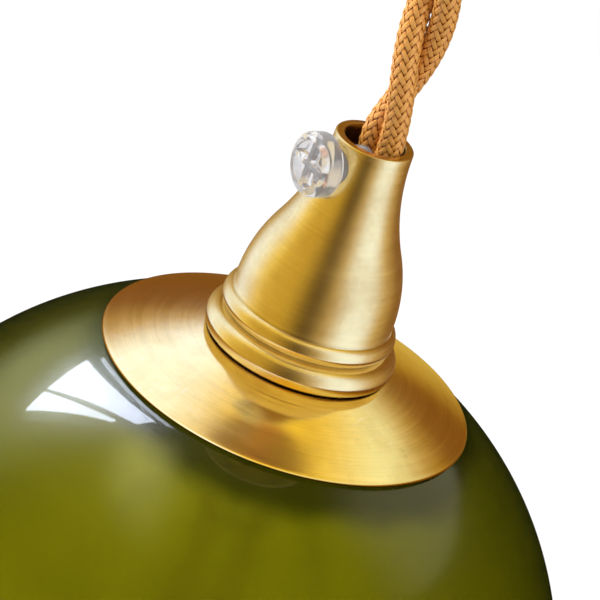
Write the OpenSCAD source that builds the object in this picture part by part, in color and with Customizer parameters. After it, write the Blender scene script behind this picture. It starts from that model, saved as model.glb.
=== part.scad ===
// Hanging pendant lamp: glass globe under a turned brass cap, on a twisted
// two-strand textile flex, with its ceiling rose.
// Millimetres, +Z up. The origin is the middle of the ceiling face, and the
// lamp hangs below it. Heights inside the lamp are measured from the outer
// edge of the cover plate, and lamp_parts() sets them in place.

/* [Ceiling rose] */
// Outside diameter of the rose cover
rose_d = 90; // [84:1:120]
// Height of the rose cover below the ceiling
rose_h = 25; // [22:0.5:40]
// Sheet thickness of the rose cover
rose_wall = 1; // [0.8:0.1:2]
// Radius of the cover's lower corner
rose_corner = 5; // [2:0.5:8]
// Width of the ceiling strap
strap_w = 14; // [12:0.5:18]
// Thickness of the ceiling strap
strap_t = 1.6; // [1.2:0.1:2.5]
// Distance between the two ceiling screw slots
slot_pitch = 64; // [62:1:66]
// Width of a ceiling screw slot
slot_w = 4.5; // [3.5:0.1:5.5]
// Length of a ceiling screw slot, end to end
slot_l = 10; // [7:0.5:12]
// Diameter of the hole for the supply cable
entry_d = 14; // [10:0.5:15]
// Diameter of the two side screws
side_screw_d = 4; // [3:0.5:5]
// Depth of the side screws below the ceiling
side_screw_drop = 11; // [8:0.5:12]

/* [Flex outlet] */
// Bore that the flex runs through
outlet_bore = 12.1; // [11.4:0.1:13]
// Diameter of the threaded tube of the outlet
outlet_d = 16; // [15.5:0.5:18]
// Diameter of the outlet's collar below the rose
collar_d = 21; // [19:0.5:28]
// Height of the collar
collar_h = 13; // [10:0.5:20]
// Diameter of the outlet's grub screw
grub_d = 4; // [3:0.5:5]

/* [Connector] */
// Length of the connector block along the wires
block_l = 16; // [13:0.5:17]
// Width of the connector block across its two ways
block_w = 20; // [18:0.5:24]
// Height of the connector block
block_h = 11; // [9:0.5:13]
// Distance between the two ways
way_pitch = 10; // [8:0.5:12]

/* [Flex] */
// Diameter of one braided strand
strand_d = 5; // [4.4:0.1:5.2]
// Height in which the strands go once round each other
lay_h = 63; // [50:1:90]
// Length of flex between the outlet and the cap
free_flex = 95; // [85:1:400]
// Diameter of an insulated core
core_d = 2.4; // [2:0.1:2.8]
// Diameter of a bare conductor
wire_d = 1.4; // [1:0.1:1.6]

/* [Lampholder cap] */
// Height of the cap
cap_h = 46.2; // [44:0.2:60]
// Outside diameter of the neck
neck_d = 15.5; // [15:0.1:18]
// Bore of the neck
neck_bore = 11.9; // [11.8:0.1:12.6]
// Height of the straight stretch of the bore
neck_bore_h = 3; // [2:0.5:6]
// Largest diameter of the bell
shoulder_d = 31.8; // [31:0.2:36]
// Height of that largest diameter above the cap's foot
shoulder_h = 10.8; // [9.5:0.2:13]
// Share of the bell's curve that bulges outwards
bulge_share = 0.4; // [0.3:0.02:0.5]
// Diameter of the foot ring
foot_ring_d = 38.1; // [37:0.1:42]
// Radius of the foot ring's roundness
foot_round = 3; // [2.6:0.1:3.4]
// Height of the foot ring's middle above the foot
foot_ring_h = 2.4; // [2:0.1:2.8]
// Diameter of the bead above the foot ring
bead_d = 34.6; // [33.8:0.1:36]
// Radius of the bead's roundness
bead_round = 2.3; // [2:0.1:2.6]
// Height of the bead's middle above the foot
bead_h = 7.6; // [7:0.1:8.2]

/* [Cover plate] */
// Outside diameter of the cover plate
plate_d = 74; // [60:1:90]
// Sheet thickness of the cover plate
plate_t = 0.8; // [0.6:0.1:1.2]
// Radius of the plate's dome
dome_r = 84; // [83:0.5:100]

/* [Globe] */
// Outside diameter of the glass globe
globe_d = 150; // [140:1:160]
// Wall of the glass
glass_t = 2.5; // [2:0.1:3.2]
// Thickness of the flat crown that is clamped
crown_t = 2.6; // [2.2:0.1:3.2]
// Diameter of the hole in the crown
globe_hole_d = 29.2; // [28.6:0.1:31]
// Diameter of the open mouth, at the middle of the wall
mouth_d = 88; // [70:1:110]
// Thickness of the washer between plate and glass
top_washer_t = 0.6; // [0.4:0.1:1]
// Thickness of the washer between glass and shade ring
low_washer_t = 1; // [0.6:0.1:1.6]

/* [Socket] */
// Outside diameter of the threaded skirt
skirt_d = 27.8; // [27.2:0.1:28]
// Wall of the threaded skirt
skirt_wall = 1.3; // [1:0.1:1.6]
// Length of the skirt inside the cap
skirt_in_cap = 6.8; // [5:0.2:8]
// Length of the skirt below the plate's edge
skirt_below = 12; // [10:0.5:16]
// Outside diameter of the shade ring
shade_ring_d = 40; // [37:0.5:41]
// Height of the shade ring
shade_ring_h = 8; // [6:0.5:10]
// Number of grip grooves round the shade ring
groove_count = 24; // [12:2:36]
// Outside diameter of the screw shell
shell_d = 15.4; // [15.1:0.1:16]
// Sheet thickness of the screw shell
shell_t = 0.45; // [0.3:0.05:0.5]
// Diameter of a terminal pillar
pillar_d = 5.2; // [4.6:0.2:6]
// Height of a terminal pillar
pillar_h = 7; // [5.5:0.5:8]
// Distance of a pillar from the lamp's axis
pillar_reach = 6.5; // [5.5:0.1:7]

/* [Grip screw] */
// Diameter of the grip screw's thread
grip_d = 8; // [6:0.5:8]
// Diameter of its head
grip_head_d = 12.5; // [11:0.5:14]
// Thickness of its head
grip_head_t = 4.5; // [4:0.5:6]
// Depth of its axis below the rim of the neck
grip_drop = 5.6; // [5.2:0.1:8]
// Direction that its head points in, from the +X axis
grip_turn = 221; // [0:1:359]
// Thickness of the pad on its end
grip_pad_t = 1.5; // [1:0.1:2]

/* [Bulb] */
// Diameter of the bulb's glass
bulb_d = 45; // [40:0.5:60]
// Length of the bulb from contact to crown
bulb_l = 78; // [74:1:95]
// Diameter over the bulb's thread
bulb_thread_d = 13.9; // [13.6:0.1:13.9]
// Wall of the bulb's glass
bulb_glass_t = 0.8; // [0.5:0.1:1]
// Length of one light filament
filament_l = 24; // [16:1:28]

/* [Hidden] */
$fn = 96;

BRASS = "#c9a052";
DARK_BRASS = "#a8843c";
STEEL = "#b4b8bc";
PORCELAIN = "#f1efe6";
NYLON = "#e9e9e4";
BRAID = "#c98a3c";
CORE_LIVE = "#6b4226";
CORE_NEUTRAL = "#3c6fb0";
COPPER = "#b87333";
OLIVE_GLASS = "#5f6410";
CLEAR = "#e8eef0";
RUBBER = "#3a3a38";

past = 1;             // how far a cut runs past the face it opens
fit = 0.05;           // radial clearance of a thread or a sliding fit
seat = 0.05;          // gap between faces that part when the lamp is opened
clear_gap = 0.25;     // gap between shaped faces that lie over each other

// ---- Rose ----
rose_r = rose_d / 2;
rose_in_r = rose_r - rose_wall;
tab_x = sqrt(pow(rose_in_r - clear_gap, 2) - pow(strap_w / 2, 2));   // outer face of a strap tab
tab_h = side_screw_drop + side_screw_d;                             // reach of a tab below the ceiling
rose_floor = -rose_h + rose_wall;                                   // inner face of the cover's floor
side_head_d = 1.8 * side_screw_d;
side_head_t = 2.2;
side_screw_l = rose_r - tab_x + 3 * strap_t;
strap_eye_d = entry_d + 10;                                         // round eye in the strap's middle

// ---- Outlet ----
outlet_r = outlet_d / 2;
outlet_z = -rose_h - collar_h;        // where the flex leaves the outlet
nut_d = outlet_d + 8;
nut_h = 3;
outlet_top = rose_floor + nut_h + 2;
grub_z = -rose_h - collar_h / 2;
grub_tip = outlet_bore / 2 - 0.7;
collar_round = 2;

// ---- Connector ----
block_x = -entry_d / 2 - 1;           // the block's face towards the rose's middle
block_top = -strap_t;
way_z = block_top - block_h / 2;
tube_d = 4.6;
tube_bore = 3;
way_screw_d = 2.6;
way_screw_gap = block_l / 2;          // distance between the two screws of a way

// ---- Flex ----
strand_r = strand_d / 2;
strand_sides = 10;
bend_z = outlet_z + 1;                // the flex swings about this height
bend_half = 1.5;
tail_top = outlet_top + 2;            // where the braid ends in the rose
core_sides = 8;
ring_step = 6;

// ---- Lamp: heights above the edge of the cover plate ----
plate_r = plate_d / 2;
foot_c = foot_ring_d / 2 - foot_round;
foot_r = foot_c + sqrt(pow(foot_round, 2) - pow(foot_ring_h, 2));
dome_z = -sqrt(pow(dome_r, 2) - pow(plate_r, 2));
foot_z = dome_z + sqrt(pow(dome_r, 2) - pow(foot_r, 2));            // seat of the cap on the plate
rim_z = foot_z + cap_h;
plate_z = outlet_z - free_flex - rim_z;                             // the lamp's own zero, from the ceiling
neck_r = neck_d / 2;
bore_r = neck_bore / 2;
shoulder_r = shoulder_d / 2;
shoulder_z = foot_z + shoulder_h;
rim_round = 0.5;
skirt_r = skirt_d / 2;
skirt_in_r = skirt_r - skirt_wall;
skirt_top = foot_z + skirt_in_cap;
ledge_t = 1.2;
ledge_r = shell_d / 2 + 1.5;
cap_room_r = skirt_r + fit;                                         // inside of the cap at its foot

// Washers and glass
washer_top_z = foot_z - plate_t;
glass_top_z = washer_top_z - top_washer_t - seat;
glass_low_z = glass_top_z - crown_t;
globe_r = globe_d / 2;
globe_in_r = globe_r - glass_t;
edge_gap = 0.06;
globe_z = -plate_t - edge_gap - sqrt(pow(globe_r, 2) - pow(plate_r, 2));
crown_r = dome_r - plate_t - clear_gap;
mouth_turn = asin(mouth_d / 2 / (globe_r - glass_t / 2));
shade_top_z = glass_low_z - low_washer_t - seat;
shade_ring_r = shade_ring_d / 2;
groove_r = 1.1;

// Insert and contacts
insert_top = skirt_top - 1;
insert_low = -skirt_below + ledge_t;
insert_r = skirt_in_r - fit;
insert_roof = 3;
shell_r = shell_d / 2;
shell_top = insert_top - insert_roof - 0.1;
shell_low = insert_low + 1;
tongue_t = 0.4;
tongue_w = 4;
tongue_z = shell_top - tongue_t - 0.4;
pillar_turn = -45;
pillar_top = insert_top + pillar_h;
term_screw_d = 2.4;
term_screw_l = pillar_d / 2 + 2.4;

// Grip screw: its own +X runs out along the screw
grip_z = rim_z - grip_drop;
grip_tip = 0.6;                       // end of the pad, from the lamp's axis
grip_back = neck_r + 1.35;            // back face of the head
grip_round = 1.3;
grip_recess = 2;
grip_rib = 1.3;
grip_pin_d = 3;                       // pin of the pad, on which the screw turns
grip_pin_l = 1.2;
grip_low = grip_tip + grip_pad_t + seat;   // end face of the screw, over the pad

// Bulb
button_top = tongue_z - 0.1;
bulb_low = button_top - bulb_l;
bulb_r = bulb_d / 2;
bulb_ball_z = bulb_low + bulb_r;
button_h = 1.2;
insulator_h = 1.8;
bulb_cap_top = button_top - button_h - insulator_h;
bulb_thread_r = bulb_thread_d / 2;
thread_step = 2.82;
thread_depth = 0.5;
thread_turns = 4;
bulb_cap_low = insert_low - 3.4;
bulb_flare_r = bulb_thread_r + 0.9;
bulb_neck_r = bulb_flare_r - 0.5;
stem_l = 20;
filament_count = 4;
filament_d = 1.6;
filament_reach = 7;

// ---- Route of the flex, in heights above the plate's edge ----
// Height, lean of the pair to +X and to +Y, distance of a strand from the pair's middle
flex_route = [
    [31, 0, 0, 4.8], [40, 1, 1, 2.8], [rim_z - 8, 1.6, 1.5, 2.54], [rim_z - 2.5, 1.55, 1.5, 2.54],
    [rim_z, 1, 1.1, 2.54], [rim_z + 5, 1.4, 0.7, 2.6], [rim_z + 11, 1.75, 0.3, 2.75],
    [rim_z + 17, 1.8, 0, 2.75], [rim_z + 26, 1.4, 0, 2.75], [rim_z + 37, 0.9, 0, 2.75],
    [rim_z + 52, 0.4, 0, 2.75], [rim_z + 72, 0, 0, 2.75], [rim_z + 1000, 0, 0, 2.75]
];
cross_h = rim_z + 10.6;               // the live strand lies in front here
// Height and direction of the live strand, below the first crossing
flex_turns = [[31, -45], [rim_z - 2.5, -47], [rim_z, -35], [cross_h, -90]];
strand_low = 31;

function column(table, n) = [for (row = table) [row[0], row[n]]];
function turn_at(h) = h > cross_h ? -90 - 360 * (h - cross_h) / lay_h : lookup(h, flex_turns);
// side is 0 for the live strand, 180 for the neutral one
function strand_point(side, h) =
    let (a = turn_at(h) + side, s = lookup(h, column(flex_route, 3)))
    [lookup(h, column(flex_route, 1)) + s * cos(a), lookup(h, column(flex_route, 2)) + s * sin(a), h];
function unit(v) = v / norm(v);
// A ring of points round p, square to the direction t, which is never along Y
function ring(p, t, r, sides) =
    let (u = unit(cross([0, 1, 0], t)), v = cross(unit(t), u))
    [for (i = [0:sides - 1]) p + r * (cos(360 * i / sides) * u + sin(360 * i / sides) * v)];
function strand_way(side, h) = unit(strand_point(side, h + 0.4) - strand_point(side, h - 0.4));
function strand_ring(side, h) =
    ring(strand_point(side, h), strand_way(side, h), strand_r, strand_sides);
// Two arcs that meet smoothly, from r0 at z0 up to the smaller r1 at z1, upright at both ends
function s_curve(r0, z0, r1, z1, share, steps) =
    let (a = 2 * atan((r0 - r1) / (z1 - z0)), both = (z1 - z0) / sin(a),
         low = both * share, high = both - low)
    concat([for (i = [0:steps]) let (b = a * i / steps)
                [r0 - low * (1 - cos(b)), z0 + low * sin(b)]],
           [for (i = [1:steps]) let (b = a * (1 - i / steps))
                [r1 + high * (1 - cos(b)), z1 - high * sin(b)]]);

// One closed tube through a list of rings
module loft(rings) {
    n = len(rings[0]);
    last = len(rings) - 1;
    polyhedron(
        points = [for (one = rings) each one],
        faces = concat(
            [[for (i = [0:n - 1]) i]],
            [[for (i = [n - 1:-1:0]) last * n + i]],
            [for (k = [0:last - 1], i = [0:n - 1])
                [k * n + i, (k + 1) * n + i, (k + 1) * n + (i + 1) % n, k * n + (i + 1) % n]]));
}

module strand(side, low, high) {
    count = max(1, round((high - low) / ring_step));
    loft([for (k = [0:count]) strand_ring(side, low + (high - low) * k / count)]);
}

// A core along its own few points
module core(points) {
    last = len(points) - 1;
    loft([for (k = [0:last])
        ring(points[k], points[min(k + 1, last)] - points[max(k - 1, 0)], core_d / 2, core_sides)]);
}

module lamp_parts() {
    translate([0, 0, plate_z]) children();
}

// Turns a shape drawn along +Z so that it lies along +X
module along_x() {
    rotate([0, 90, 0]) children();
}

// The +X axis of the grip screw, at its place in the cap
module grip_place() {
    lamp_parts() translate([0, 0, grip_z]) rotate(grip_turn) along_x() children();
}

module washer(outer_r, inner_r, low, high) {
    translate([0, 0, low]) difference() {
        cylinder(h = high - low, r = outer_r);
        translate([0, 0, -past]) cylinder(h = high - low + 2 * past, r = inner_r);
    }
}

// ---- Ceiling rose ----
module strap_slot(x) {
    for (end = [-1, 1])
        translate([x + end * (slot_l - slot_w) / 2, 0, -strap_t - past])
            cylinder(h = strap_t + 2 * past, d = slot_w);
    translate([x - (slot_l - slot_w) / 2, -slot_w / 2, -strap_t - past])
        cube([slot_l - slot_w, slot_w, strap_t + 2 * past]);
}

module ceiling_strap() {
    color(STEEL) difference() {
        union() {
            translate([-tab_x, -strap_w / 2, -strap_t]) cube([2 * tab_x, strap_w, strap_t]);
            translate([0, 0, -strap_t]) cylinder(h = strap_t, d = strap_eye_d);
            for (side = [-1, 1])
                translate([side * (tab_x - strap_t / 2) - strap_t / 2, -strap_w / 2, -tab_h])
                    cube([strap_t, strap_w, tab_h - strap_t / 2]);
        }
        translate([0, 0, -strap_t - past]) cylinder(h = strap_t + 2 * past, d = entry_d);
        for (side = [-1, 1]) strap_slot(side * slot_pitch / 2);
        translate([-tab_x - past, 0, -side_screw_drop]) along_x()
            cylinder(h = 2 * (tab_x + past), d = side_screw_d + 2 * fit);
    }
}

// Half section of a cup that stands on the ceiling, mouth up
module cup_half(r, low, round_r) {
    difference() {
        translate([0, low]) square([r, -low + past]);
        translate([r - round_r, low]) difference() {
            translate([0, -past]) square([round_r + past, round_r + past]);
            translate([0, round_r]) circle(r = round_r);
        }
    }
}

module rose_cover() {
    color(BRASS) difference() {
        rotate_extrude() difference() {
            intersection() {
                cup_half(rose_r, -rose_h, rose_corner);
                translate([0, -rose_h]) square([rose_r, rose_h - seat]);
            }
            cup_half(rose_in_r, rose_floor, rose_corner - rose_wall);
        }
        translate([0, 0, -rose_h - past]) cylinder(h = rose_wall + 2 * past, r = outlet_r + fit);
        translate([-rose_r - past, 0, -side_screw_drop]) along_x()
            cylinder(h = 2 * (rose_r + past), d = side_screw_d + 4 * fit);
    }
}

module side_screws() {
    color(BRASS) for (side = [0, 180]) rotate(side) translate([rose_r, 0, -side_screw_drop])
        along_x() difference() {
            union() {
                translate([0, 0, -side_screw_l]) cylinder(h = side_screw_l + side_head_t / 2, d = side_screw_d);
                cylinder(h = side_head_t, d = side_head_d);
            }
            translate([-side_head_d, -0.4, side_head_t - 0.8]) cube([2 * side_head_d, 0.8, past + 0.8]);
        }
}

module outlet_bush() {
    color(BRASS) difference() {
        union() {
            translate([0, 0, outlet_z + collar_h / 2])
                cylinder(h = outlet_top - outlet_z - collar_h / 2, r = outlet_r);
            translate([0, 0, outlet_z + collar_round]) cylinder(h = collar_h - collar_round, d = collar_d);
            translate([0, 0, outlet_z]) cylinder(h = collar_h / 2, r = collar_d / 2 - collar_round);
            translate([0, 0, outlet_z + collar_round])
                rotate_extrude() translate([collar_d / 2 - collar_round, 0]) circle(r = collar_round);
        }
        translate([0, 0, outlet_z - past])
            cylinder(h = outlet_top - outlet_z + 2 * past, d = outlet_bore);
        translate([0, 0, grub_z]) rotate([90, 0, 0]) cylinder(h = collar_d, d = grub_d + 2 * fit);
    }
}

module outlet_nut() {
    color(DARK_BRASS) translate([0, 0, rose_floor]) difference() {
        cylinder(h = nut_h, d = nut_d, $fn = 6);
        translate([0, 0, -past]) cylinder(h = nut_h + 2 * past, r = outlet_r + fit);
    }
}

module outlet_grub() {
    color(STEEL) translate([0, -grub_tip, grub_z]) rotate([90, 0, 0]) difference() {
        cylinder(h = collar_d / 2 - grub_tip, d = grub_d);
        translate([-grub_d, -0.35, collar_d / 2 - grub_tip - 1]) cube([2 * grub_d, 0.7, 2]);
    }
}

// ---- Connector ----
module each_way() {
    for (side = [-1, 1]) translate([block_x - block_l, side * way_pitch / 2, way_z]) children();
}

module way_screw_holes(d) {
    for (side = [-1, 1])
        translate([block_l / 2 + side * way_screw_gap / 2, 0, -block_h / 2 - past])
            cylinder(h = block_h / 2 + past, d = d);
}

module connector_block() {
    color(NYLON) difference() {
        translate([block_x - block_l, -block_w / 2, block_top - block_h]) cube([block_l, block_w, block_h]);
        each_way() {
            translate([-past, 0, 0]) along_x() cylinder(h = block_l + 2 * past, d = tube_d + 2 * fit);
            way_screw_holes(way_screw_d + 2);
        }
    }
}

module connector_tubes() {
    color(BRASS) each_way() difference() {
        translate([1, 0, 0]) along_x() cylinder(h = block_l - 2, d = tube_d);
        along_x() cylinder(h = block_l, d = tube_bore);
        way_screw_holes(way_screw_d + 2 * fit);
    }
}

module connector_screws() {
    color(STEEL) each_way() for (side = [-1, 1])
        translate([block_l / 2 + side * way_screw_gap / 2, 0, -block_h / 2 + 1]) difference() {
            cylinder(h = block_h / 2 - 1 - wire_d / 2, d = way_screw_d);
            translate([-way_screw_d, -0.3, -past]) cube([2 * way_screw_d, 0.6, past + 0.7]);
        }
}

// ---- Flex ----
// Where a strand's braid ends in the rose, in the model's own frame
function tail_end(side) = strand_point(side, tail_top - plate_z) + [0, 0, plate_z];
function way_y(side) = side == 0 ? way_pitch / 2 : -way_pitch / 2;

module rose_cores() {
    for (side = [0, 180])
        color(side == 0 ? CORE_LIVE : CORE_NEUTRAL)
            let (from = tail_end(side), y = way_y(side), rise = way_z - from[2],
                 lead = from + core_d / 2 * strand_way(side, tail_top - plate_z))
            core([
                from,
                lead,
                [lead[0], lead[1] + (y - lead[1]) * 0.2, from[2] + rise * 0.45],
                [lead[0] - 0.6, lead[1] + (y - lead[1]) * 0.5, from[2] + rise * 0.8],
                [lead[0] - 2.6, lead[1] + (y - lead[1]) * 0.85, way_z - 0.3],
                [block_x + 1.2, y, way_z],
                [block_x, y, way_z]
            ]);
}

module rose_wire_ends() {
    color(COPPER) for (side = [-1, 1])
        translate([block_x - block_l / 2 - way_screw_gap / 2, side * way_pitch / 2, way_z])
            along_x() cylinder(h = block_l / 2 + way_screw_gap / 2, d = wire_d);
}

module strand_tails() {
    color(BRAID) lamp_parts() for (side = [0, 180])
        strand(side, bend_z + bend_half - plate_z, tail_top - plate_z);
}

module flex_bend() {
    color(BRAID) lamp_parts() for (side = [0, 180])
        strand(side, bend_z - bend_half - plate_z, bend_z + bend_half - plate_z);
}

module strand_live() {
    color(BRAID) lamp_parts() strand(0, strand_low, bend_z - bend_half - plate_z);
}

module strand_neutral() {
    color(BRAID) lamp_parts() strand(180, strand_low, bend_z - bend_half - plate_z);
}

// ---- Lampholder ----
module holder_cap_half() {
    difference() {
        union() {
            polygon(concat(
                [[0, foot_z], [foot_c, foot_z], [foot_c, foot_z + bead_h], [shoulder_r, foot_z + bead_h]],
                s_curve(shoulder_r, shoulder_z, neck_r, rim_z - rim_round, bulge_share, 12),
                [[neck_r - rim_round, rim_z], [0, rim_z]]));
            intersection() {
                translate([foot_c, foot_z + foot_ring_h]) circle(r = foot_round);
                translate([0, foot_z]) square([foot_ring_d, cap_h]);
            }
            translate([bead_d / 2 - bead_round, foot_z + bead_h]) circle(r = bead_round);
        }
        polygon(concat(
            [[0, foot_z - past], [cap_room_r, foot_z - past]],
            s_curve(cap_room_r, shoulder_z, bore_r, rim_z - neck_bore_h, bulge_share, 12),
            [[bore_r, rim_z + past], [0, rim_z + past]]));
    }
}

module holder_cap() {
    color(BRASS) difference() {
        lamp_parts() rotate_extrude() holder_cap_half();
        grip_place() cylinder(h = shoulder_d, d = grip_d + 2 * fit);
    }
}

// Everything under the plate's dome, down to a flat at the given height
module dish_half(under, flat_z) {
    intersection() {
        translate([0, dome_z]) circle(r = dome_r - under, $fn = 360);
        translate([0, -plate_r]) square([plate_r, plate_r + flat_z]);
    }
}

module cover_plate() {
    color(BRASS) lamp_parts() rotate_extrude() difference() {
        dish_half(0, foot_z);
        dish_half(plate_t, foot_z - plate_t);
        translate([0, -plate_r]) square([skirt_r + clear_gap, 2 * plate_r]);
    }
}

module top_washer() {
    color(RUBBER) lamp_parts()
        washer(foot_r - 4 * clear_gap, skirt_r + clear_gap, washer_top_z - top_washer_t, washer_top_z);
}

module threaded_skirt() {
    color(DARK_BRASS) lamp_parts() difference() {
        translate([0, 0, -skirt_below]) cylinder(h = skirt_top + skirt_below, r = skirt_r);
        translate([0, 0, insert_low]) cylinder(h = skirt_top + skirt_below, r = skirt_in_r);
        translate([0, 0, -skirt_below - past]) cylinder(h = skirt_below, r = ledge_r);
    }
}

module each_pillar() {
    for (side = [0, 180]) rotate(pillar_turn + side) translate([pillar_reach, 0, 0]) children();
}

module porcelain_insert() {
    color(PORCELAIN) lamp_parts() difference() {
        translate([0, 0, insert_low]) cylinder(h = insert_top - insert_low, r = insert_r);
        translate([0, 0, insert_low - past])
            cylinder(h = insert_top - insert_roof - insert_low + past, r = shell_r + fit);
    }
}

module screw_shell() {
    color(BRASS) lamp_parts() washer(shell_r, shell_r - shell_t, shell_low, shell_top);
}

module live_tongue() {
    color(DARK_BRASS) lamp_parts() intersection() {
        translate([-shell_r, -tongue_w / 2, tongue_z]) cube([2 * shell_r, tongue_w, tongue_t]);
        cylinder(h = 2 * shell_top, r = shell_r - shell_t - clear_gap);
    }
}

module terminal_pillars() {
    color(BRASS) lamp_parts() each_pillar() translate([0, 0, insert_top]) difference() {
        cylinder(h = pillar_h, d = pillar_d);
        translate([0, 0, pillar_h / 2 - wire_d]) cylinder(h = pillar_h, d = wire_d + 4 * fit);
        translate([0, 0, pillar_h / 2]) along_x() cylinder(h = pillar_d, d = term_screw_d + 2 * fit);
    }
}

module terminal_screws() {
    color(STEEL) lamp_parts() each_pillar() translate([wire_d / 2 + fit, 0, insert_top + pillar_h / 2])
        along_x() difference() {
            cylinder(h = term_screw_l, d = term_screw_d);
            translate([-term_screw_d, -0.3, term_screw_l - 0.7]) cube([2 * term_screw_d, 0.6, 2]);
        }
}

module cap_cores() {
    for (side = [0, 180])
        color(side == 0 ? CORE_LIVE : CORE_NEUTRAL)
            let (from = strand_point(side, strand_low), a = pillar_turn + side,
                 to = [pillar_reach * cos(a), pillar_reach * sin(a), pillar_top],
                 lead = from - core_d / 2 * strand_way(side, strand_low), end = to + [0, 0, core_d / 2])
            lamp_parts() core([
                from,
                lead,
                lead + (end - lead) * 0.3 + [0, 0, -0.4],
                lead + (end - lead) * 0.7 + [0, 0, 0.4],
                end,
                to
            ]);
}

module cap_wire_ends() {
    color(COPPER) lamp_parts() each_pillar() translate([0, 0, insert_top + pillar_h / 2 - wire_d / 2])
        cylinder(h = pillar_h / 2 + wire_d / 2, d = wire_d);
}

// ---- Grip screw ----
module grip_pad() {
    color(CLEAR) grip_place() translate([0, 0, grip_tip]) {
        cylinder(h = grip_pad_t, d = grip_d - 4 * fit);
        cylinder(h = grip_pad_t + grip_pin_l, d = grip_pin_d);
    }
}

module grip_head_half() {
    r = grip_head_d / 2;
    union() {
        square([r - grip_round, grip_head_t]);
        translate([0, grip_round]) square([r, grip_head_t - 2 * grip_round]);
        for (z = [grip_round, grip_head_t - grip_round])
            translate([r - grip_round, z]) circle(r = grip_round);
    }
}

module grip_screw() {
    reach = grip_head_d / 2 - 1.8;
    color(CLEAR) grip_place() difference() {
        union() {
            translate([0, 0, grip_low]) cylinder(h = grip_back - grip_low + grip_round, d = grip_d);
            translate([0, 0, grip_back]) rotate_extrude() grip_head_half();
        }
        translate([0, 0, grip_low - past])
            cylinder(h = past + grip_pin_l + seat, d = grip_pin_d + 2 * fit);
        translate([0, 0, grip_back + grip_head_t - grip_recess]) difference() {
            cylinder(h = grip_recess + past, r = reach);
            for (a = [0, 90]) rotate(a) translate([-grip_head_d, -grip_rib / 2, -past])
                cube([2 * grip_head_d, grip_rib, 2 * grip_recess + past]);
        }
    }
}

// ---- Globe ----
module glass_globe() {
    half_wall = globe_r - glass_t / 2;
    color(OLIVE_GLASS, 0.6) lamp_parts() rotate_extrude() union() {
        difference() {
            intersection() {
                translate([0, globe_z]) circle(r = globe_r, $fn = 360);
                translate([0, dome_z]) circle(r = crown_r, $fn = 360);
                translate([0, globe_z - globe_r]) square([globe_r, globe_r - globe_z + glass_top_z]);
            }
            intersection() {
                translate([0, globe_z]) circle(r = globe_in_r, $fn = 360);
                translate([0, globe_z - globe_r]) square([globe_r, globe_r - globe_z + glass_low_z]);
            }
            translate([0, -past]) square([globe_hole_d / 2, glass_top_z + 2 * past]);
            polygon([[0, globe_z],
                     [2 * globe_r * sin(mouth_turn), globe_z - 2 * globe_r * cos(mouth_turn)],
                     [0, globe_z - 2 * globe_r * cos(mouth_turn)]]);
        }
        translate([half_wall * sin(mouth_turn), globe_z - half_wall * cos(mouth_turn)])
            circle(d = glass_t);
    }
}

module low_washer() {
    color(RUBBER) lamp_parts()
        washer(shade_ring_r, globe_hole_d / 2, glass_low_z - low_washer_t, glass_low_z);
}

module shade_ring() {
    color(BRASS) lamp_parts() translate([0, 0, shade_top_z - shade_ring_h]) difference() {
        cylinder(h = shade_ring_h, r = shade_ring_r);
        translate([0, 0, -past]) cylinder(h = shade_ring_h + 2 * past, r = skirt_r + fit);
        for (i = [0:groove_count - 1]) rotate(i * 360 / groove_count)
            translate([shade_ring_r + groove_r / 2, 0, -past]) cylinder(h = shade_ring_h - 1, r = groove_r);
    }
}

// ---- Bulb ----
module contact_button() {
    color(STEEL) lamp_parts() translate([0, 0, button_top - button_h]) cylinder(h = button_h, r = 2.3);
}

module bulb_insulator() {
    color(RUBBER) lamp_parts() translate([0, 0, bulb_cap_top])
        cylinder(h = insulator_h, r1 = bulb_thread_r - 2, r2 = 2.6);
}

module bulb_cap() {
    root_r = bulb_thread_r - thread_depth;
    color(STEEL) lamp_parts() rotate_extrude() difference() {
        union() {
            translate([0, bulb_cap_low + 2.6]) square([root_r, bulb_cap_top - bulb_cap_low - 2.6]);
            for (i = [0:thread_turns - 1])
                translate([root_r, bulb_cap_top - 2.4 - i * thread_step]) circle(r = thread_depth, $fn = 24);
            polygon([[0, bulb_cap_low], [bulb_flare_r, bulb_cap_low],
                     [bulb_flare_r, bulb_cap_low + 1], [root_r, bulb_cap_low + 2.6],
                     [0, bulb_cap_low + 2.6]]);
        }
        translate([0, bulb_cap_low - past])
            square([root_r - 0.4, bulb_cap_top - bulb_cap_low + past - 0.6]);
    }
}

// Half section of the bulb's glass, drawn in by the given amount
module bulb_half(inset) {
    r = bulb_r - inset;
    polygon(concat(
        [for (a = [-90:6:-6]) [max(0, r * cos(a)), bulb_ball_z + r * sin(a)]],
        s_curve(r, bulb_ball_z, bulb_neck_r - inset, bulb_cap_low, 0.5, 12),
        [[0, bulb_cap_low]]));
}

module bulb_glass() {
    color(CLEAR, 0.4) lamp_parts() rotate_extrude() difference() {
        bulb_half(0);
        difference() {
            bulb_half(bulb_glass_t);
            translate([0, bulb_cap_low - bulb_glass_t]) square([bulb_r, bulb_r]);
        }
    }
}

module bulb_stem() {
    color(CLEAR, 0.5) lamp_parts() translate([0, 0, bulb_cap_low - bulb_glass_t - stem_l])
        cylinder(h = stem_l, r1 = 1.4, r2 = 3.6);
}

module bulb_filaments() {
    top = bulb_cap_low - bulb_glass_t - stem_l;
    color("#e7c66a") lamp_parts() {
        for (i = [0:filament_count - 1]) rotate(45 + i * 360 / filament_count)
            translate([filament_reach, 0, top - filament_l + 4]) cylinder(h = filament_l, d = filament_d);
        for (z = [top + 4, top - filament_l + 3.5]) translate([0, 0, z])
            rotate_extrude() translate([filament_reach, 0]) circle(d = 0.9, $fn = 24);
    }
}

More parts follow.
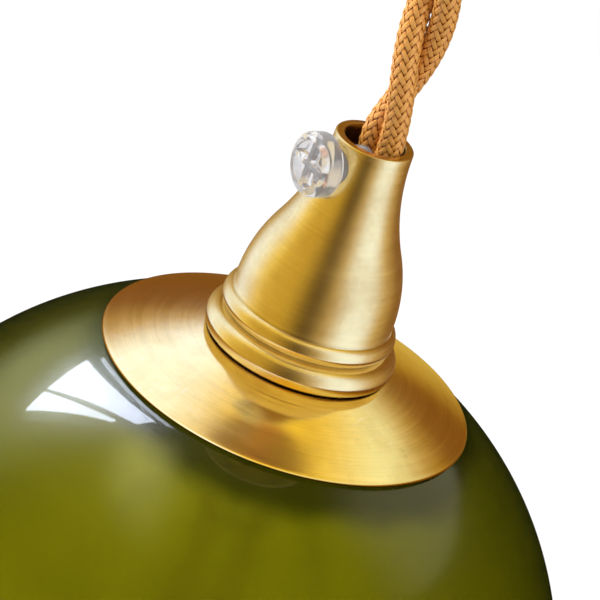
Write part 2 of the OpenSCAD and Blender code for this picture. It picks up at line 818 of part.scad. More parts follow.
ceiling_strap();
rose_cover();
side_screws();
outlet_bush();
outlet_nut();
outlet_grub();
connector_block();
connector_tubes();
connector_screws();
rose_cores();
rose_wire_ends();
strand_tails();
flex_bend();
strand_live();
strand_neutral();
holder_cap();
cover_plate();
top_washer();
threaded_skirt();
porcelain_insert();
screw_shell();
live_tongue();
terminal_pillars();
terminal_screws();
cap_cores();
cap_wire_ends();
grip_pad();
grip_screw();
glass_globe();
low_washer();
shade_ring();
contact_button();
bulb_insulator();
bulb_cap();
bulb_glass();
bulb_stem();
bulb_filaments();
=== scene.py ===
# %% [markdown]
# # A hanging pendant lamp
# The lamp is a glass globe under a turned brass cap. It hangs on a twisted
# pair of braided strands from a small brass ceiling rose. The exact solids
# come from the CAD frame. This script gives every one of them its finish, and
# models again what needs more detail than a solid can carry: the braid, the
# threads, the rounded glass and the turned brass.
# %% Load the frame
import math
import random

import bmesh
import bpy
import numpy as np
from mathutils import Euler, Matrix, Quaternion, Vector


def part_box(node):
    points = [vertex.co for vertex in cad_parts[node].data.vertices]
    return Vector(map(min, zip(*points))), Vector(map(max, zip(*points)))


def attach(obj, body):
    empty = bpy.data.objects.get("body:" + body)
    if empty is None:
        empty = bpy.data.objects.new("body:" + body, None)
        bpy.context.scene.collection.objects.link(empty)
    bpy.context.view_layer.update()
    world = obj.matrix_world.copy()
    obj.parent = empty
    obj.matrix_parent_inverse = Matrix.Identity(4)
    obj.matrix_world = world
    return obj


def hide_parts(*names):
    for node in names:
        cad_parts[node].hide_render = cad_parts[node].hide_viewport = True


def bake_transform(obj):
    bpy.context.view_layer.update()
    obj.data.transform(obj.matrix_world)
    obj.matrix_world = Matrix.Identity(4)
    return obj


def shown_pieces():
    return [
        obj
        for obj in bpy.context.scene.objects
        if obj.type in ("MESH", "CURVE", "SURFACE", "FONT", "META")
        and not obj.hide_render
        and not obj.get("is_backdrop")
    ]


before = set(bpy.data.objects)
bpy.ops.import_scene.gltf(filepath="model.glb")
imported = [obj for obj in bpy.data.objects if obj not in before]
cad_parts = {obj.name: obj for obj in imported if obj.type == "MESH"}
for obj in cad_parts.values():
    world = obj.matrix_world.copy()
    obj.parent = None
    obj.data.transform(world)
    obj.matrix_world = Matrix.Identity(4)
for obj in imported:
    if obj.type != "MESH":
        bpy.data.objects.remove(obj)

for name in ("Cube", "Camera", "Light"):   # what a new Blender file starts with
    if name in bpy.data.objects:
        bpy.data.objects.remove(bpy.data.objects[name])
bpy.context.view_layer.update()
MM = 0.001

# %% [markdown]
# ## Heights inside the lamp
# The cap's rim is the lamp's top. Heights inside the lamp are counted from
# the outer edge of the cover plate, as on a workshop drawing, in millimetres.
# `at_height` turns such a height into the frame's own Z.
# %% Lamp heights
RIM = 52.8693            # top of the cap's neck
FOOT = 6.6693            # seat of the cap on the cover plate
plate_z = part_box("holder_cap")[1].z / MM - RIM


def at_height(h):
    return plate_z + h


print(f"the cover plate's edge is {-plate_z:.2f} mm below the ceiling")

# %% [markdown]
# ## Camera
# A long lens looks down at the lamp from the front, so that both the top of
# the cover plate and the side of the globe show. The camera leans over, which
# sets the lamp at a slant.
# %% Camera
camera_data = bpy.data.cameras.new("camera")
camera_data.lens, camera_data.sensor_width = 259.7, 36
camera_data.clip_end = 30
camera = bpy.data.objects.new("camera", camera_data)
bpy.context.collection.objects.link(camera)
LOOK_DOWN = 25.96        # degrees below level
LOOK_LEFT = 0.2          # degrees left of straight ahead
LEAN = 20.76             # how far the camera leans over, in degrees
ahead = Euler((math.radians(-LOOK_DOWN), 0, math.radians(LOOK_LEFT))).to_matrix() @ Vector((0, 1, 0))
back = -ahead
level_right = ahead.cross(Vector((0, 0, 1))).normalized()
right = Quaternion(ahead, math.radians(-LEAN)) @ level_right
up = right.cross(ahead)
turn = Matrix((right, up, back)).transposed().to_4x4()
camera.matrix_world = Matrix.Translation((0, -0.742, 0.1916)) @ turn
bpy.context.scene.camera = camera
bpy.context.scene.view_settings.view_transform = "Standard"
print("camera looks along", [round(-x, 3) for x in back])

# %% [markdown]
# ## Making a piece
# Every mesh is drawn in millimetres in a bmesh and scaled to metres at the
# end. `make_piece` closes the seams, turns the faces outwards, keeps hard
# edges hard and says which body of the frame the piece moves with.
# %% Piece helpers
def mesh_object(name, bm, finish, sharp=35):
    bmesh.ops.remove_doubles(bm, verts=bm.verts, dist=2e-5)
    bmesh.ops.dissolve_degenerate(bm, edges=bm.edges, dist=1e-5)
    bmesh.ops.recalc_face_normals(bm, faces=bm.faces)
    bmesh.ops.scale(bm, vec=(MM, MM, MM), verts=bm.verts)
    mesh = bpy.data.meshes.new(name)
    bm.to_mesh(mesh)
    bm.free()
    mesh.shade_smooth()
    mesh.set_sharp_from_angle(angle=math.radians(sharp))
    mesh.materials.append(finish)
    piece = bpy.data.objects.new(name, mesh)
    bpy.context.collection.objects.link(piece)
    return piece


def make_piece(name, bm, body, finish, nodes=(), sharp=35):
    piece = mesh_object(name, bm, finish, sharp)
    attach(piece, body)
    if nodes:
        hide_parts(*nodes)
    print(f"{name}: {len(piece.data.polygons)} faces, rides on {body}")
    return piece


# %% [markdown]
# ## Node helpers
# Materials are built from small nodes. `put` adds one node and fills its
# inputs with a number, a colour or another node's output. The rest are short
# names for the nodes that are used all the time.
# %% Node helpers
def put(tree, kind, values=None, **settings):
    made = tree.nodes.new("ShaderNode" + kind)
    for key, value in settings.items():
        setattr(made, key, value)
    for key, value in (values or {}).items():
        fill(tree, made.inputs[key], value)
    return made


def fill(tree, socket, value):
    if isinstance(value, bpy.types.NodeSocket):
        tree.links.new(value, socket)
    else:
        socket.default_value = value


def calc(tree, operation, *values):
    return put(tree, "Math", dict(enumerate(values)), operation=operation).outputs[0]


def spread(tree, value, low, high, to_low=0.0, to_high=1.0):
    """value, stretched so that low becomes to_low and high becomes to_high."""
    return put(tree, "MapRange", {0: value, 1: low, 2: high, 3: to_low, 4: to_high}).outputs[0]


def eased(tree, value, low, high, to_low=0.0, to_high=1.0):
    """As spread, but it starts and ends softly."""
    values = {0: value, 1: low, 2: high, 3: to_low, 4: to_high}
    return put(tree, "MapRange", values, interpolation_type="SMOOTHSTEP").outputs[0]


def distance_of(tree, a, b):
    """How far a point is when it lies a one way and b the other way."""
    squares = calc(tree, "ADD", calc(tree, "MULTIPLY", a, a), calc(tree, "MULTIPLY", b, b))
    return calc(tree, "SQRT", squares)


print("a node can be added, filled and reckoned with")

# %% [markdown]
# The other helpers mix two colours, make noise, squash a pattern and read the
# place of a point in its own object, which is what most patterns start from.
# %% More node helpers
def tint(tree, amount, a, b, kind="MIX"):
    made = put(tree, "Mix", {0: amount, 6: a, 7: b}, data_type="RGBA", blend_type=kind)
    return made.outputs[2]


def noise(tree, place, scale, detail=2.0, rough=0.5):
    values = {"Vector": place, "Scale": scale, "Detail": detail, "Roughness": rough}
    return put(tree, "TexNoise", values).outputs[0]


def stretched(tree, place, x, y, z):
    return put(tree, "VectorMath", {0: place, 1: (x, y, z)}, operation="MULTIPLY").outputs[0]


def own_place(tree):
    return put(tree, "TexCoord").outputs["Object"]


def shining(tree, tone, strength):
    """Light of its own, for the stage round the lamp."""
    return put(tree, "Emission", {"Color": tone, "Strength": strength}).outputs[0]


print("node helpers ready")

# %% [markdown]
# ## Colours, groups and finishes
# Blender's nodes count light evenly, while the usual six-digit colour codes
# don't, so `colour` turns one into the other. `new_group` starts a node group
# with named sockets, `use` places one in a material, and `new_finish` starts
# the material of a piece.
# %% Colours, groups and finishes
def colour(code):
    """A linear colour from its usual six-digit code."""
    parts = [int(code[i:i + 2], 16) / 255 for i in (0, 2, 4)]
    return tuple(p / 12.92 if p <= 0.04045 else ((p + 0.055) / 1.055) ** 2.4 for p in parts) + (1.0,)


def new_group(name, inputs, outputs):
    tree = bpy.data.node_groups.new(name, "ShaderNodeTree")
    for label, value in inputs.items():
        socket = tree.interface.new_socket(label, in_out="INPUT", socket_type="NodeSocketFloat")
        socket.default_value = value
    for label in outputs:
        tree.interface.new_socket(label, in_out="OUTPUT", socket_type="NodeSocketFloat")
    return tree, tree.nodes.new("NodeGroupInput").outputs, tree.nodes.new("NodeGroupOutput")


def use(tree, group, **values):
    made = tree.nodes.new("ShaderNodeGroup")
    made.node_tree = group
    for key, value in values.items():
        fill(tree, made.inputs[key], value)
    return made.outputs


def new_finish(name, **constants):
    if name in bpy.data.materials:   # the frame's plain colour of that name steps aside
        bpy.data.materials[name].name = name + "_plain"
    finish = bpy.data.materials.new(name)
    finish.use_nodes = True
    shader = finish.node_tree.nodes["Principled BSDF"]
    for key, value in constants.items():
        shader.inputs[key.replace("_", " ")].default_value = value
    return finish, finish.node_tree, shader


def raise_surface(tree, shader, height, depth_mm, strength=1.0):
    """A bump whose full height is depth_mm."""
    bump = put(tree, "Bump", {"Height": height, "Strength": strength, "Distance": depth_mm * MM})
    fill(tree, shader.inputs["Normal"], bump.outputs[0])
    return bump


print("finish helpers ready")

# %% [markdown]
# ## Braided textile
# Each strand wears a sleeve of glossy yarn. The yarns are real geometry, so
# the material only has to add the fibres in each yarn, a small difference
# from yarn to yarn, painted shade where a yarn dives under its neighbours and
# a painted highlight on its crown.
# The yarns carry two attributes for that: where a point lies in its yarn, and
# how deep it is.
# %% Braid material
def braid_finish():
    finish, tree, shader = new_finish(
        "braided_textile", Roughness=0.4, Sheen_Weight=0.05, Sheen_Roughness=0.4, Specular_IOR_Level=0.5)
    shader.inputs["Sheen Tint"].default_value = (0.95, 0.85, 0.8, 1)
    place = put(tree, "Attribute", attribute_name="yarn_place").outputs["Vector"]
    depth = put(tree, "Attribute", attribute_name="yarn_depth").outputs["Fac"]
    shade = put(tree, "Attribute", attribute_name="yarn_shade").outputs["Fac"]
    fibre = noise(tree, stretched(tree, place, 9, 9, 0.8), 1.0, 3, 0.6)
    patch = noise(tree, own_place(tree), 90, 2)
    light = spread(tree, calc(tree, "ADD", fibre, calc(tree, "MULTIPLY", shade, 0.25)), 0.35, 0.85)
    yarn = tint(tree, light, colour("b9650a"), colour("eba23a"))
    yarn = tint(tree, spread(tree, patch, 0.4, 0.7, 0, 0.3), yarn, colour("c07c28"))
    # Painted highlight: where yarn_depth is high, on a yarn's crown and outer face, the colour turns paler.
    yarn = tint(tree, spread(tree, depth, 0.9, 1.35, 0, 0.6), yarn, colour("f0b25c"))
    # Painted shade: where a yarn dives under its neighbours, the colour turns dark brown.
    dark = tint(tree, spread(tree, depth, 0.3, 1.1), colour("6e2c01"), yarn)
    fill(tree, shader.inputs["Base Color"], dark)
    fill(tree, shader.inputs["Roughness"], spread(tree, fibre, 0.3, 0.7, 0.36, 0.52))
    raise_surface(tree, shader, fibre, 0.05, 0.8)
    return finish


# The core under the braid is a real part; its near black colour is painted shade for the gaps between the
# yarns.
def core_finish():
    finish, tree, shader = new_finish("flex_core", Roughness=0.8)
    fleck = noise(tree, own_place(tree), 2500, 2)
    fill(tree, shader.inputs["Base Color"], tint(tree, fleck, colour("2a1404"), colour("4a2609")))
    raise_surface(tree, shader, fleck, 0.05)
    return finish


braided_textile, flex_core = braid_finish(), core_finish()
print("braid material made")

# %% [markdown]
# ## Route of the flex
# The two strands twist left-handed round each other once in 63 mm. Just above
# the cap they lean aside and settle, then they go down through the neck to
# the terminals. The table is the route of the CAD solids, a little closer
# together so that the soft braids touch: height, lean to +X, lean to +Y, and
# distance of a strand from the pair's middle.
# %% Route
FLEX_ROUTE = np.array([
    (31, 0, 0, 4.8), (40, 1, 1, 2.8), (RIM - 8, 1.6, 1.5, 2.54), (RIM - 2.5, 1.55, 1.5, 2.54),
    (RIM, 1, 1.1, 2.54), (RIM + 5, 1.4, 0.7, 2.57), (RIM + 11, 1.75, 0.3, 2.6),
    (RIM + 17, 1.8, 0, 2.6), (RIM + 26, 1.4, 0, 2.6), (RIM + 37, 0.9, 0, 2.6),
    (RIM + 52, 0.4, 0, 2.6), (RIM + 72, 0, 0, 2.6), (RIM + 1000, 0, 0, 2.6)])
CROSSING = RIM + 10.6
FLEX_TURNS = np.array([(31, -45), (RIM - 2.5, -47), (RIM, -35), (CROSSING, -90)])
LAY = 63.0
STRAND_LOW = 31.0        # the braid ends here, over the terminals
BEND_Z = -37.0           # the flex swings about this point of the outlet
TAIL_TOP = -17.0         # the braid ends here, in the rose


def strand_route(side, low, high):
    """Points in the frame, in millimetres. side is 0 for live and 180 for neutral."""
    heights = np.linspace(low, high, max(4, round(high - low)) + 1)
    soft = np.zeros((len(heights), 3))
    spans = np.linspace(-3, 3, 7)
    for span in spans:   # a mean over 6 mm takes the corners out of the table
        h = np.clip(heights + span, STRAND_LOW, None) if low > STRAND_LOW else heights + span * (
            np.minimum(heights - low, 3) / 3)
        turn = np.where(h > CROSSING, -90 - 360 * (h - CROSSING) / LAY,
                        np.interp(h, FLEX_TURNS[:, 0], FLEX_TURNS[:, 1]))
        a = np.radians(turn + side)
        lean_x, lean_y, off = (np.interp(h, FLEX_ROUTE[:, 0], FLEX_ROUTE[:, n]) for n in (1, 2, 3))
        soft += np.stack([lean_x + off * np.cos(a), lean_y + off * np.sin(a), heights], 1) / len(spans)
    soft[:, 2] += plate_z
    return soft


live = strand_route(0, STRAND_LOW, BEND_Z - plate_z)
print("a strand is", round(float(np.linalg.norm(np.diff(live, axis=0), axis=1).sum()), 1), "mm long")

# %% [markdown]
# ## Sleeves
# A straight yarn is easy to make, so the braid starts from one: a six-sided
# rod cut into short steps. Copies of it are wound round a core, half of them
# to the right and half to the left. Each rides over two neighbours and then
# dives under two, which gives the upright herringbone columns of this kind of
# flex. The finished sleeve is straight, and `laid_along` bends it onto the
# route.
# %% Bending a straight piece onto a route
def laid_along(bm, route):
    """Bend a piece drawn along +Z from 0 onto a list of points."""
    steps = np.linalg.norm(np.diff(route, axis=0), axis=1)
    reach = np.concatenate([[0.0], np.cumsum(steps)])
    ahead = np.gradient(route, reach, axis=0)
    ahead /= np.linalg.norm(ahead, axis=1)[:, None]
    side = Vector((1, 0, 0)) - Vector(ahead[0]) * ahead[0][0]
    side.normalize()
    sides = [side.copy()]
    for a, b in zip(ahead, ahead[1:]):   # carry the side along without twisting it
        side.rotate(Vector(a).rotation_difference(Vector(b)))
        sides.append(side.copy())
    sides = np.array(sides)
    across = np.cross(ahead, sides)
    co = np.array([v.co for v in bm.verts])
    s = np.clip(co[:, 2], 0, reach[-1])
    past = (co[:, 2] - s)[:, None]

    def at(table):
        return np.stack([np.interp(s, reach, table[:, i]) for i in range(3)], 1)

    placed = at(route) + at(sides) * co[:, :1] + at(across) * co[:, 1:2] + at(ahead) * past
    for v, p in zip(bm.verts, placed):
        v.co = p
    return float(reach[-1])


def rod(bm, radius, length, sides, steps):
    """A closed rod from 0 up, cut into steps. Returns its vertices."""
    made = bmesh.ops.create_cone(bm, cap_ends=True, segments=sides, radius1=radius, radius2=radius,
                                 depth=length)
    bmesh.ops.translate(bm, vec=(0, 0, length / 2), verts=made["verts"])
    edges = {e for v in made["verts"] for e in v.link_edges
             if abs(e.verts[0].co.z - e.verts[1].co.z) > length / 2}
    cut = bmesh.ops.subdivide_edges(bm, edges=list(edges), cuts=steps - 1)
    return made["verts"] + [g for g in cut["geom_inner"] if isinstance(g, bmesh.types.BMVert)]


print("rods can be bent onto a route")

# %% [markdown]
# ## Yarns of the sleeve
# A yarn is flat and glossy, so its rod is pressed to an oval. The sleeve of
# this flex has 24 of them. Where a yarn crosses the others, a wave in its
# distance from the core lifts it over two and lets it dive under two.
# %% Winding the yarns
YARN_LAY = 25.0          # height of one turn of a yarn
YARNS = 12               # yarns in each direction
YARN_WIDE, YARN_THICK = 0.96, 0.46
SLEEVE_R = 2.17          # middle of the sleeve
YARN_RISE = 0.17         # a yarn rises and dives by this much
STEP_DEG = 6             # turn of a yarn from one ring of its rod to the next


def sleeve(length, seed):
    """A straight sleeve of 24 woven yarns, which keeps each point's place on its yarn for the material."""
    bm = bmesh.new()
    place = bm.verts.layers.float_vector.new("yarn_place")
    depth = bm.verts.layers.float.new("yarn_depth")
    shade = bm.verts.layers.float.new("yarn_shade")
    tilt = math.atan(2 * math.pi * SLEEVE_R / YARN_LAY)
    run = length / math.cos(tilt)
    draw = random.Random(seed)
    rod(bm, 1.0, run, 6, round(360 * length / YARN_LAY / STEP_DEG))
    bmesh.ops.scale(bm, vec=(YARN_WIDE / 2, YARN_THICK / 2, 1), verts=bm.verts)
    first = bm.verts[:] + bm.edges[:] + bm.faces[:]
    sets = [bm.verts[:]]
    for _ in range(2 * YARNS - 1):
        copy = bmesh.ops.duplicate(bm, geom=first)["geom"]
        sets.append([g for g in copy if isinstance(g, bmesh.types.BMVert)])
    for k, verts in enumerate(sets):
        hand = 1 if k < YARNS else -1
        start = math.radians(30 * k + (15 if hand < 0 else 0))
        own = draw.random()
        wide = draw.uniform(0.94, 1.03)
        for v in verts:
            a, b, s = v.co
            angle = start + hand * s * math.sin(tilt) / SLEEVE_R
            wave = math.sin(6 * angle) * hand
            wave = wave * (1.6 - 0.6 * wave * wave)
            r = SLEEVE_R + YARN_RISE * wave + b
            angle += a * wide * math.cos(tilt) / SLEEVE_R
            v[place] = (a + 20 * k, b, s)
            # yarn_depth is high on a yarn's crown and outer face and low where it dives; the material paints
            # shade and highlight from it.
            v[depth] = 0.5 + 0.5 * wave + (0.35 if b > 0 else -0.1)
            v[shade] = own
            height = s * math.cos(tilt) - hand * a * wide * math.sin(tilt)
            v.co = (r * math.cos(angle), r * math.sin(angle), height)
    return bm


print("yarns:", 2 * YARNS)

# %% [markdown]
# `braid` winds a sleeve as long as its route, lays it along the route and puts
# a plain dark core inside, so that no light comes through the gaps; the core's
# near black colour is painted shade in the gaps.
# %% A braided strand
def braid(name, route, seed):
    length = float(np.linalg.norm(np.diff(route, axis=0), axis=1).sum())
    bm = sleeve(length, seed)
    laid_along(bm, route)
    piece = mesh_object(name, bm, braided_textile, 60)
    inside = bmesh.new()
    rod(inside, SLEEVE_R - 0.2, length, 16, len(route) - 1)
    laid_along(inside, route)
    core = mesh_object(name + "_core", inside, flex_core)
    print(f"{name}: {length:.1f} mm, {len(piece.data.polygons)} faces")
    return piece, core, length


print("a strand can be braided")

# %% [markdown]
# ## The flex
# The flex hangs from the outlet and swings in it. Each strand is made in two
# pieces that meet there: the strand down to the lamp and the tail up into the rose.
# %% Strands and tails
for seed, (side, label) in enumerate(((0, "live"), (180, "neutral"))):
    hanging = strand_route(side, STRAND_LOW, BEND_Z - plate_z)[::-1]
    strand, strand_core, long = braid(f"strand_{label}_braid", hanging, seed)
    tail_route = strand_route(side, BEND_Z - plate_z, TAIL_TOP - plate_z)
    tail, tail_core, _ = braid(f"tail_{label}_braid", tail_route, seed + 5)
    for one in (strand, strand_core):
        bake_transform(one)
    for one in (tail, tail_core):
        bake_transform(one)
    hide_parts(f"strand_{label}", "flex_bend")
    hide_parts("strand_tails")

# %% [markdown]
# ## Effects that several materials share
# Turned metal keeps the fine rings of the lathe tool, and brass that hangs in
# a room for years gets a darker bloom, small specks and hairline scratches.
# Each of these is a node group, built once, and every metal uses it with its
# own values. The rings come from noise whose place is the distance from the
# axis and the height, so it hardly changes on the way round.
# %% Turning marks
def turned_group():
    """Fine rings round the upright axis, in Object coordinates."""
    tree, given, out = new_group("turned_rings", {"Fineness": 4.0, "Wander": 0.5}, ["Rings", "Sectors"])
    spot = put(tree, "SeparateXYZ", {0: own_place(tree)}).outputs
    r = distance_of(tree, spot[0], spot[1])
    scale = calc(tree, "MULTIPLY", given["Fineness"], 1000.0)
    wander = calc(tree, "MULTIPLY", given["Wander"], 60.0)

    def ring_place(factor):
        s = calc(tree, "MULTIPLY", scale, factor)
        sideways = calc(tree, "MULTIPLY", calc(tree, "ADD", spot[0], spot[1]), wander)
        outward, upward = calc(tree, "MULTIPLY", r, s), calc(tree, "MULTIPLY", spot[2], s)
        return put(tree, "CombineXYZ", {0: outward, 1: upward, 2: sideways}).outputs[0]

    fine, broad = noise(tree, ring_place(1.0), 1.0, 3, 0.65), noise(tree, ring_place(0.16), 1.0, 2)
    rings = calc(tree, "ADD", calc(tree, "MULTIPLY", fine, 0.6), calc(tree, "MULTIPLY", broad, 0.4))
    fill(tree, out.inputs["Rings"], rings)
    # Sectors: noise by the turn round the axis, which the plate uses as a painted reflection.
    around = calc(tree, "ARCTAN2", spot[1], spot[0])
    to_side = calc(tree, "MULTIPLY", calc(tree, "SINE", around), 9.0)
    to_front = calc(tree, "MULTIPLY", calc(tree, "COSINE", around), 9.0)
    fan = put(tree, "CombineXYZ", {0: to_side, 1: to_front, 2: calc(tree, "MULTIPLY", r, 25.0)}).outputs[0]
    fill(tree, out.inputs["Sectors"], noise(tree, fan, 1.0, 4, 0.6))
    return tree


turned_rings = turned_group()
print("group:", turned_rings.name)

# %% [markdown]
# Tarnish is three masks. The bloom is broad noise, the specks are the middles
# of small cells that a second noise lets through in patches, and a scratch is
# the thin crest of a noise that is stretched very long.
# %% Tarnish
def tarnish_group():
    """Soft dark bloom, small specks and short scratches."""
    tree, given, out = new_group("tarnish", {"Size": 8.0, "Specks": 0.5}, ["Bloom", "Specks", "Scratches"])
    place = own_place(tree)
    scale = calc(tree, "DIVIDE", 1000.0, given["Size"])
    fill(tree, out.inputs["Bloom"], spread(tree, noise(tree, place, scale, 5, 0.6), 0.42, 0.72))
    dots = put(tree, "TexVoronoi", {"Vector": place, "Scale": 420.0, "Randomness": 1.0}).outputs["Distance"]
    gate = noise(tree, place, 160, 2)
    size = spread(tree, gate, 0.5, 0.8, 0.0, 0.35)
    hit = calc(tree, "MULTIPLY", calc(tree, "LESS_THAN", dots, size), given["Specks"])
    fill(tree, out.inputs["Specks"], hit)
    lines = None
    for turn, seed in ((0.5, 3.0), (-0.9, 8.0), (2.0, 15.0)):
        across = put(tree, "VectorRotate", {"Vector": place, "Angle": turn, "Axis": (0.3, 0.1, 1.0)},
                     rotation_type="AXIS_ANGLE").outputs[0]
        moved = put(tree, "VectorMath", {0: across, 1: (seed, 0.0, seed)}, operation="ADD").outputs[0]
        streak = noise(tree, stretched(tree, moved, 60, 2600, 400), 1.0, 1)
        sharp = spread(tree, streak, 0.72, 0.76)
        lines = sharp if lines is None else calc(tree, "MAXIMUM", lines, sharp)
    fill(tree, out.inputs["Scratches"], lines)
    return tree


tarnish = tarnish_group()
print("group:", tarnish.name)

# %% [markdown]
# Moulded and fired pieces have no tool marks. They get a fine grain, and a
# slow wave of the same noise that is twenty times as large.
# %% Grain
def grain_group():
    """Fine even grain with a slower waviness under it."""
    tree, given, out = new_group("grain", {"Per_mm": 3.0}, ["Fine", "Slow"])
    place = own_place(tree)
    scale = calc(tree, "MULTIPLY", given["Per_mm"], 1000.0)
    fill(tree, out.inputs["Fine"], noise(tree, place, scale, 3))
    fill(tree, out.inputs["Slow"], noise(tree, place, calc(tree, "MULTIPLY", scale, 0.05), 2))
    return tree


grain = grain_group()
print("groups:", [g.name for g in bpy.data.node_groups])

# %% [markdown]
# ## Metals
# The brass is turned, then left satin. A turned surface spreads a highlight
# across its rings, so the shader is anisotropic with its tangent round the
# axis. Fresh metal shows in the rings, and the bloom darkens it to amber.
# Its base colour gets painted shade and grime in its creases, and painted
# shade down the bore of the neck and on a face that looks down, where little
# light comes.
# %% Painted shade and grime on metal
def crease_mask(tree, creases):
    """The corner circles of painted shade and grime: each a radius, a height and a width in mm, and a
    darkness.
    """
    spot = put(tree, "SeparateXYZ", {0: own_place(tree)}).outputs
    r = distance_of(tree, spot[0], spot[1])
    mask = None
    for radius, height, width, dark in creases:
        dr, dz = calc(tree, "SUBTRACT", r, radius * MM), calc(tree, "SUBTRACT", spot[2], height * MM)
        one = eased(tree, distance_of(tree, dr, dz), 0.0, width * MM, dark, 0.0)
        mask = one if mask is None else calc(tree, "MAXIMUM", mask, one)
    return mask


def shaded_places(tree, base, creases, bore, under):
    """base with painted shade: darker in the creases, inside the bore's radius in mm, and by under where a
    face looks down.
    """
    if creases:
        # Painted shade, with some grime, in the corner circles.
        base = tint(tree, crease_mask(tree, creases), base, colour("2a1a08"))
    if bore:
        # Painted shade down the bore.
        level = stretched(tree, own_place(tree), 1, 1, 0)
        across = put(tree, "VectorMath", {0: level}, operation="LENGTH").outputs["Value"]
        inside = calc(tree, "LESS_THAN", across, bore * MM)
        base = tint(tree, calc(tree, "MULTIPLY", inside, 0.75), base, colour("4a2f10"))
    # Painted shade on faces that look down.
    if under:
        facing = put(tree, "SeparateXYZ", {0: put(tree, "TexCoord").outputs["Normal"]}).outputs[2]
        base = tint(tree, spread(tree, facing, -0.05, -0.3, 0, under), base, colour("1c1204"))
    return base


print("painted shade and grime can be laid in creases")

# %% [markdown]
# `metal_finish` is the one recipe for every metal here. It mixes a bright and
# a dark tone by the tarnish, darkens the rings, adds painted shade, grime and
# scratches, and lets the same masks steer the gloss and a very shallow bump.
# %% A metal's finish
def metal_finish(name, bright, dark, rough=0.26, rings=0.5, fineness=3.0, bloom=0.5, specks=0.6,
                 scratches=0.4, grooves_mm=0.004, lacquer=0.0, aniso=0.85, size=9.0, sectors=0.0,
                 creases=(), bore=0.0, under=0.0):
    finish, tree, shader = new_finish(name, Metallic=1.0, Coat_Weight=lacquer, Coat_Roughness=0.12,
                                      Anisotropic=aniso, Anisotropic_Rotation=0.0)
    if aniso:
        tangent = put(tree, "Tangent", direction_type="RADIAL", axis="Z").outputs[0]
        fill(tree, shader.inputs["Tangent"], tangent)
    lathe_marks = use(tree, turned_rings, Fineness=fineness, Wander=0.6)
    wear = use(tree, tarnish, Size=size, Specks=specks)
    mask = calc(tree, "MULTIPLY", wear["Bloom"], bloom)
    base = tint(tree, mask, colour(bright), colour(dark))
    ring_shade = spread(tree, lathe_marks["Rings"], 0.3, 0.7, 1.0 - 0.35 * rings, 1.0)
    ring_grey = put(tree, "CombineColor", {0: ring_shade, 1: ring_shade, 2: ring_shade}).outputs[0]
    base = tint(tree, 1.0, base, ring_grey, "MULTIPLY")
    # Painted reflection: faint darker wedges round the axis, as a turned plate breaks its reflection into
    # sectors.
    if sectors:
        shade = spread(tree, lathe_marks["Sectors"], 0.35, 0.65, 0, sectors)
        base = tint(tree, shade, base, colour(dark))
    base = tint(tree, calc(tree, "MULTIPLY", wear["Specks"], 0.8), base, colour("3d2408"))
    base = tint(tree, calc(tree, "MULTIPLY", wear["Scratches"], scratches), base, colour("fff1cf"))
    base = shaded_places(tree, base, creases, bore, under)
    fill(tree, shader.inputs["Base Color"], base)
    smoothest, roughest = rough * (1 - 0.25 * rings), rough * (1 + 0.35 * rings)
    ring_gloss = spread(tree, lathe_marks["Rings"], 0.3, 0.7, smoothest, roughest)
    roughness = calc(tree, "ADD", ring_gloss, calc(tree, "MULTIPLY", mask, 0.12))
    roughness = calc(tree, "ADD", roughness, calc(tree, "MULTIPLY", wear["Specks"], 0.3))
    fill(tree, shader.inputs["Roughness"], roughness)
    marks = calc(tree, "SUBTRACT", calc(tree, "MULTIPLY", lathe_marks["Rings"], rings),
                 calc(tree, "MULTIPLY", wear["Scratches"], 0.5 * scratches))
    raise_surface(tree, shader, marks, grooves_mm)
    return finish


print("metal recipe ready")

# %% [markdown]
# Each metal has its own values. The cap has the most creases, the plate is
# polished and nearly free of bloom, and the rose has the most specks. Steel,
# nickel and copper differ in their two tones and their gloss.
# %% Brass and other metals
# Circles of painted shade, with some grime, where the cap's foot, bead and rings meet: radius, height, width
# and darkness.
CAP_CREASES = [
    (17.95, at_height(FOOT), 0.75, 0.85), (16.1, at_height(FOOT + 5.5), 0.5, 0.3),
    (15.9, at_height(FOOT + 9.8), 0.4, 0.2)]
cap_brass = metal_finish("cap_brass", "f0d48c", "b9842a", rough=0.2, rings=0.35, bloom=0.3, specks=0.0,
                         scratches=0.1, aniso=0.93, creases=CAP_CREASES, bore=6.15)
# The plate gets a circle of painted shade round the cap's foot, painted shade on its underside and faint
# painted reflection sectors.
plate_brass = metal_finish("plate_brass", "f0cc66", "b07c22", rough=0.14, rings=0.5, fineness=4.0, bloom=0.2,
                           specks=0.1, scratches=0.15, size=7, sectors=0.08, aniso=0.85, grooves_mm=0.001,
                           creases=((17.95, at_height(FOOT), 0.7, 0.85),), under=0.9)
rose_brass = metal_finish("rose_brass", "efc468", "a87322", rough=0.25, rings=0.8, fineness=3.5, bloom=0.45,
                          specks=0.8, size=11, lacquer=0.25)
fitting_brass = metal_finish("fitting_brass", "e9c070", "9d6a22", rough=0.22, rings=0.6, bloom=0.5)
ring_brass = metal_finish("ring_brass", "e4bb69", "8f6020", rough=0.28, rings=0.6, bloom=0.6)
screw_brass = metal_finish("screw_brass", "edc673", "9a6a25", rough=0.24, rings=0.3, aniso=0, bloom=0.5)
strap_steel = metal_finish("strap_steel", "b9bcc0", "8d8f8f", rough=0.38, rings=0.0, aniso=0, bloom=0.7,
                           size=5)
steel_screw = metal_finish("steel_screw", "c2c4c6", "8a8a88", rough=0.3, rings=0.2, aniso=0)
contact_metal = metal_finish("contact_metal", "d8d6cc", "8f8a80", rough=0.35, rings=0.0, aniso=0)
cap_nickel = metal_finish("cap_nickel", "d3d1c8", "9a968c", rough=0.24, rings=0.5, bloom=0.3)
copper_wire = metal_finish("copper_wire", "f0a080", "9a5a3c", rough=0.3, rings=0.0, aniso=0)
print("metals made")

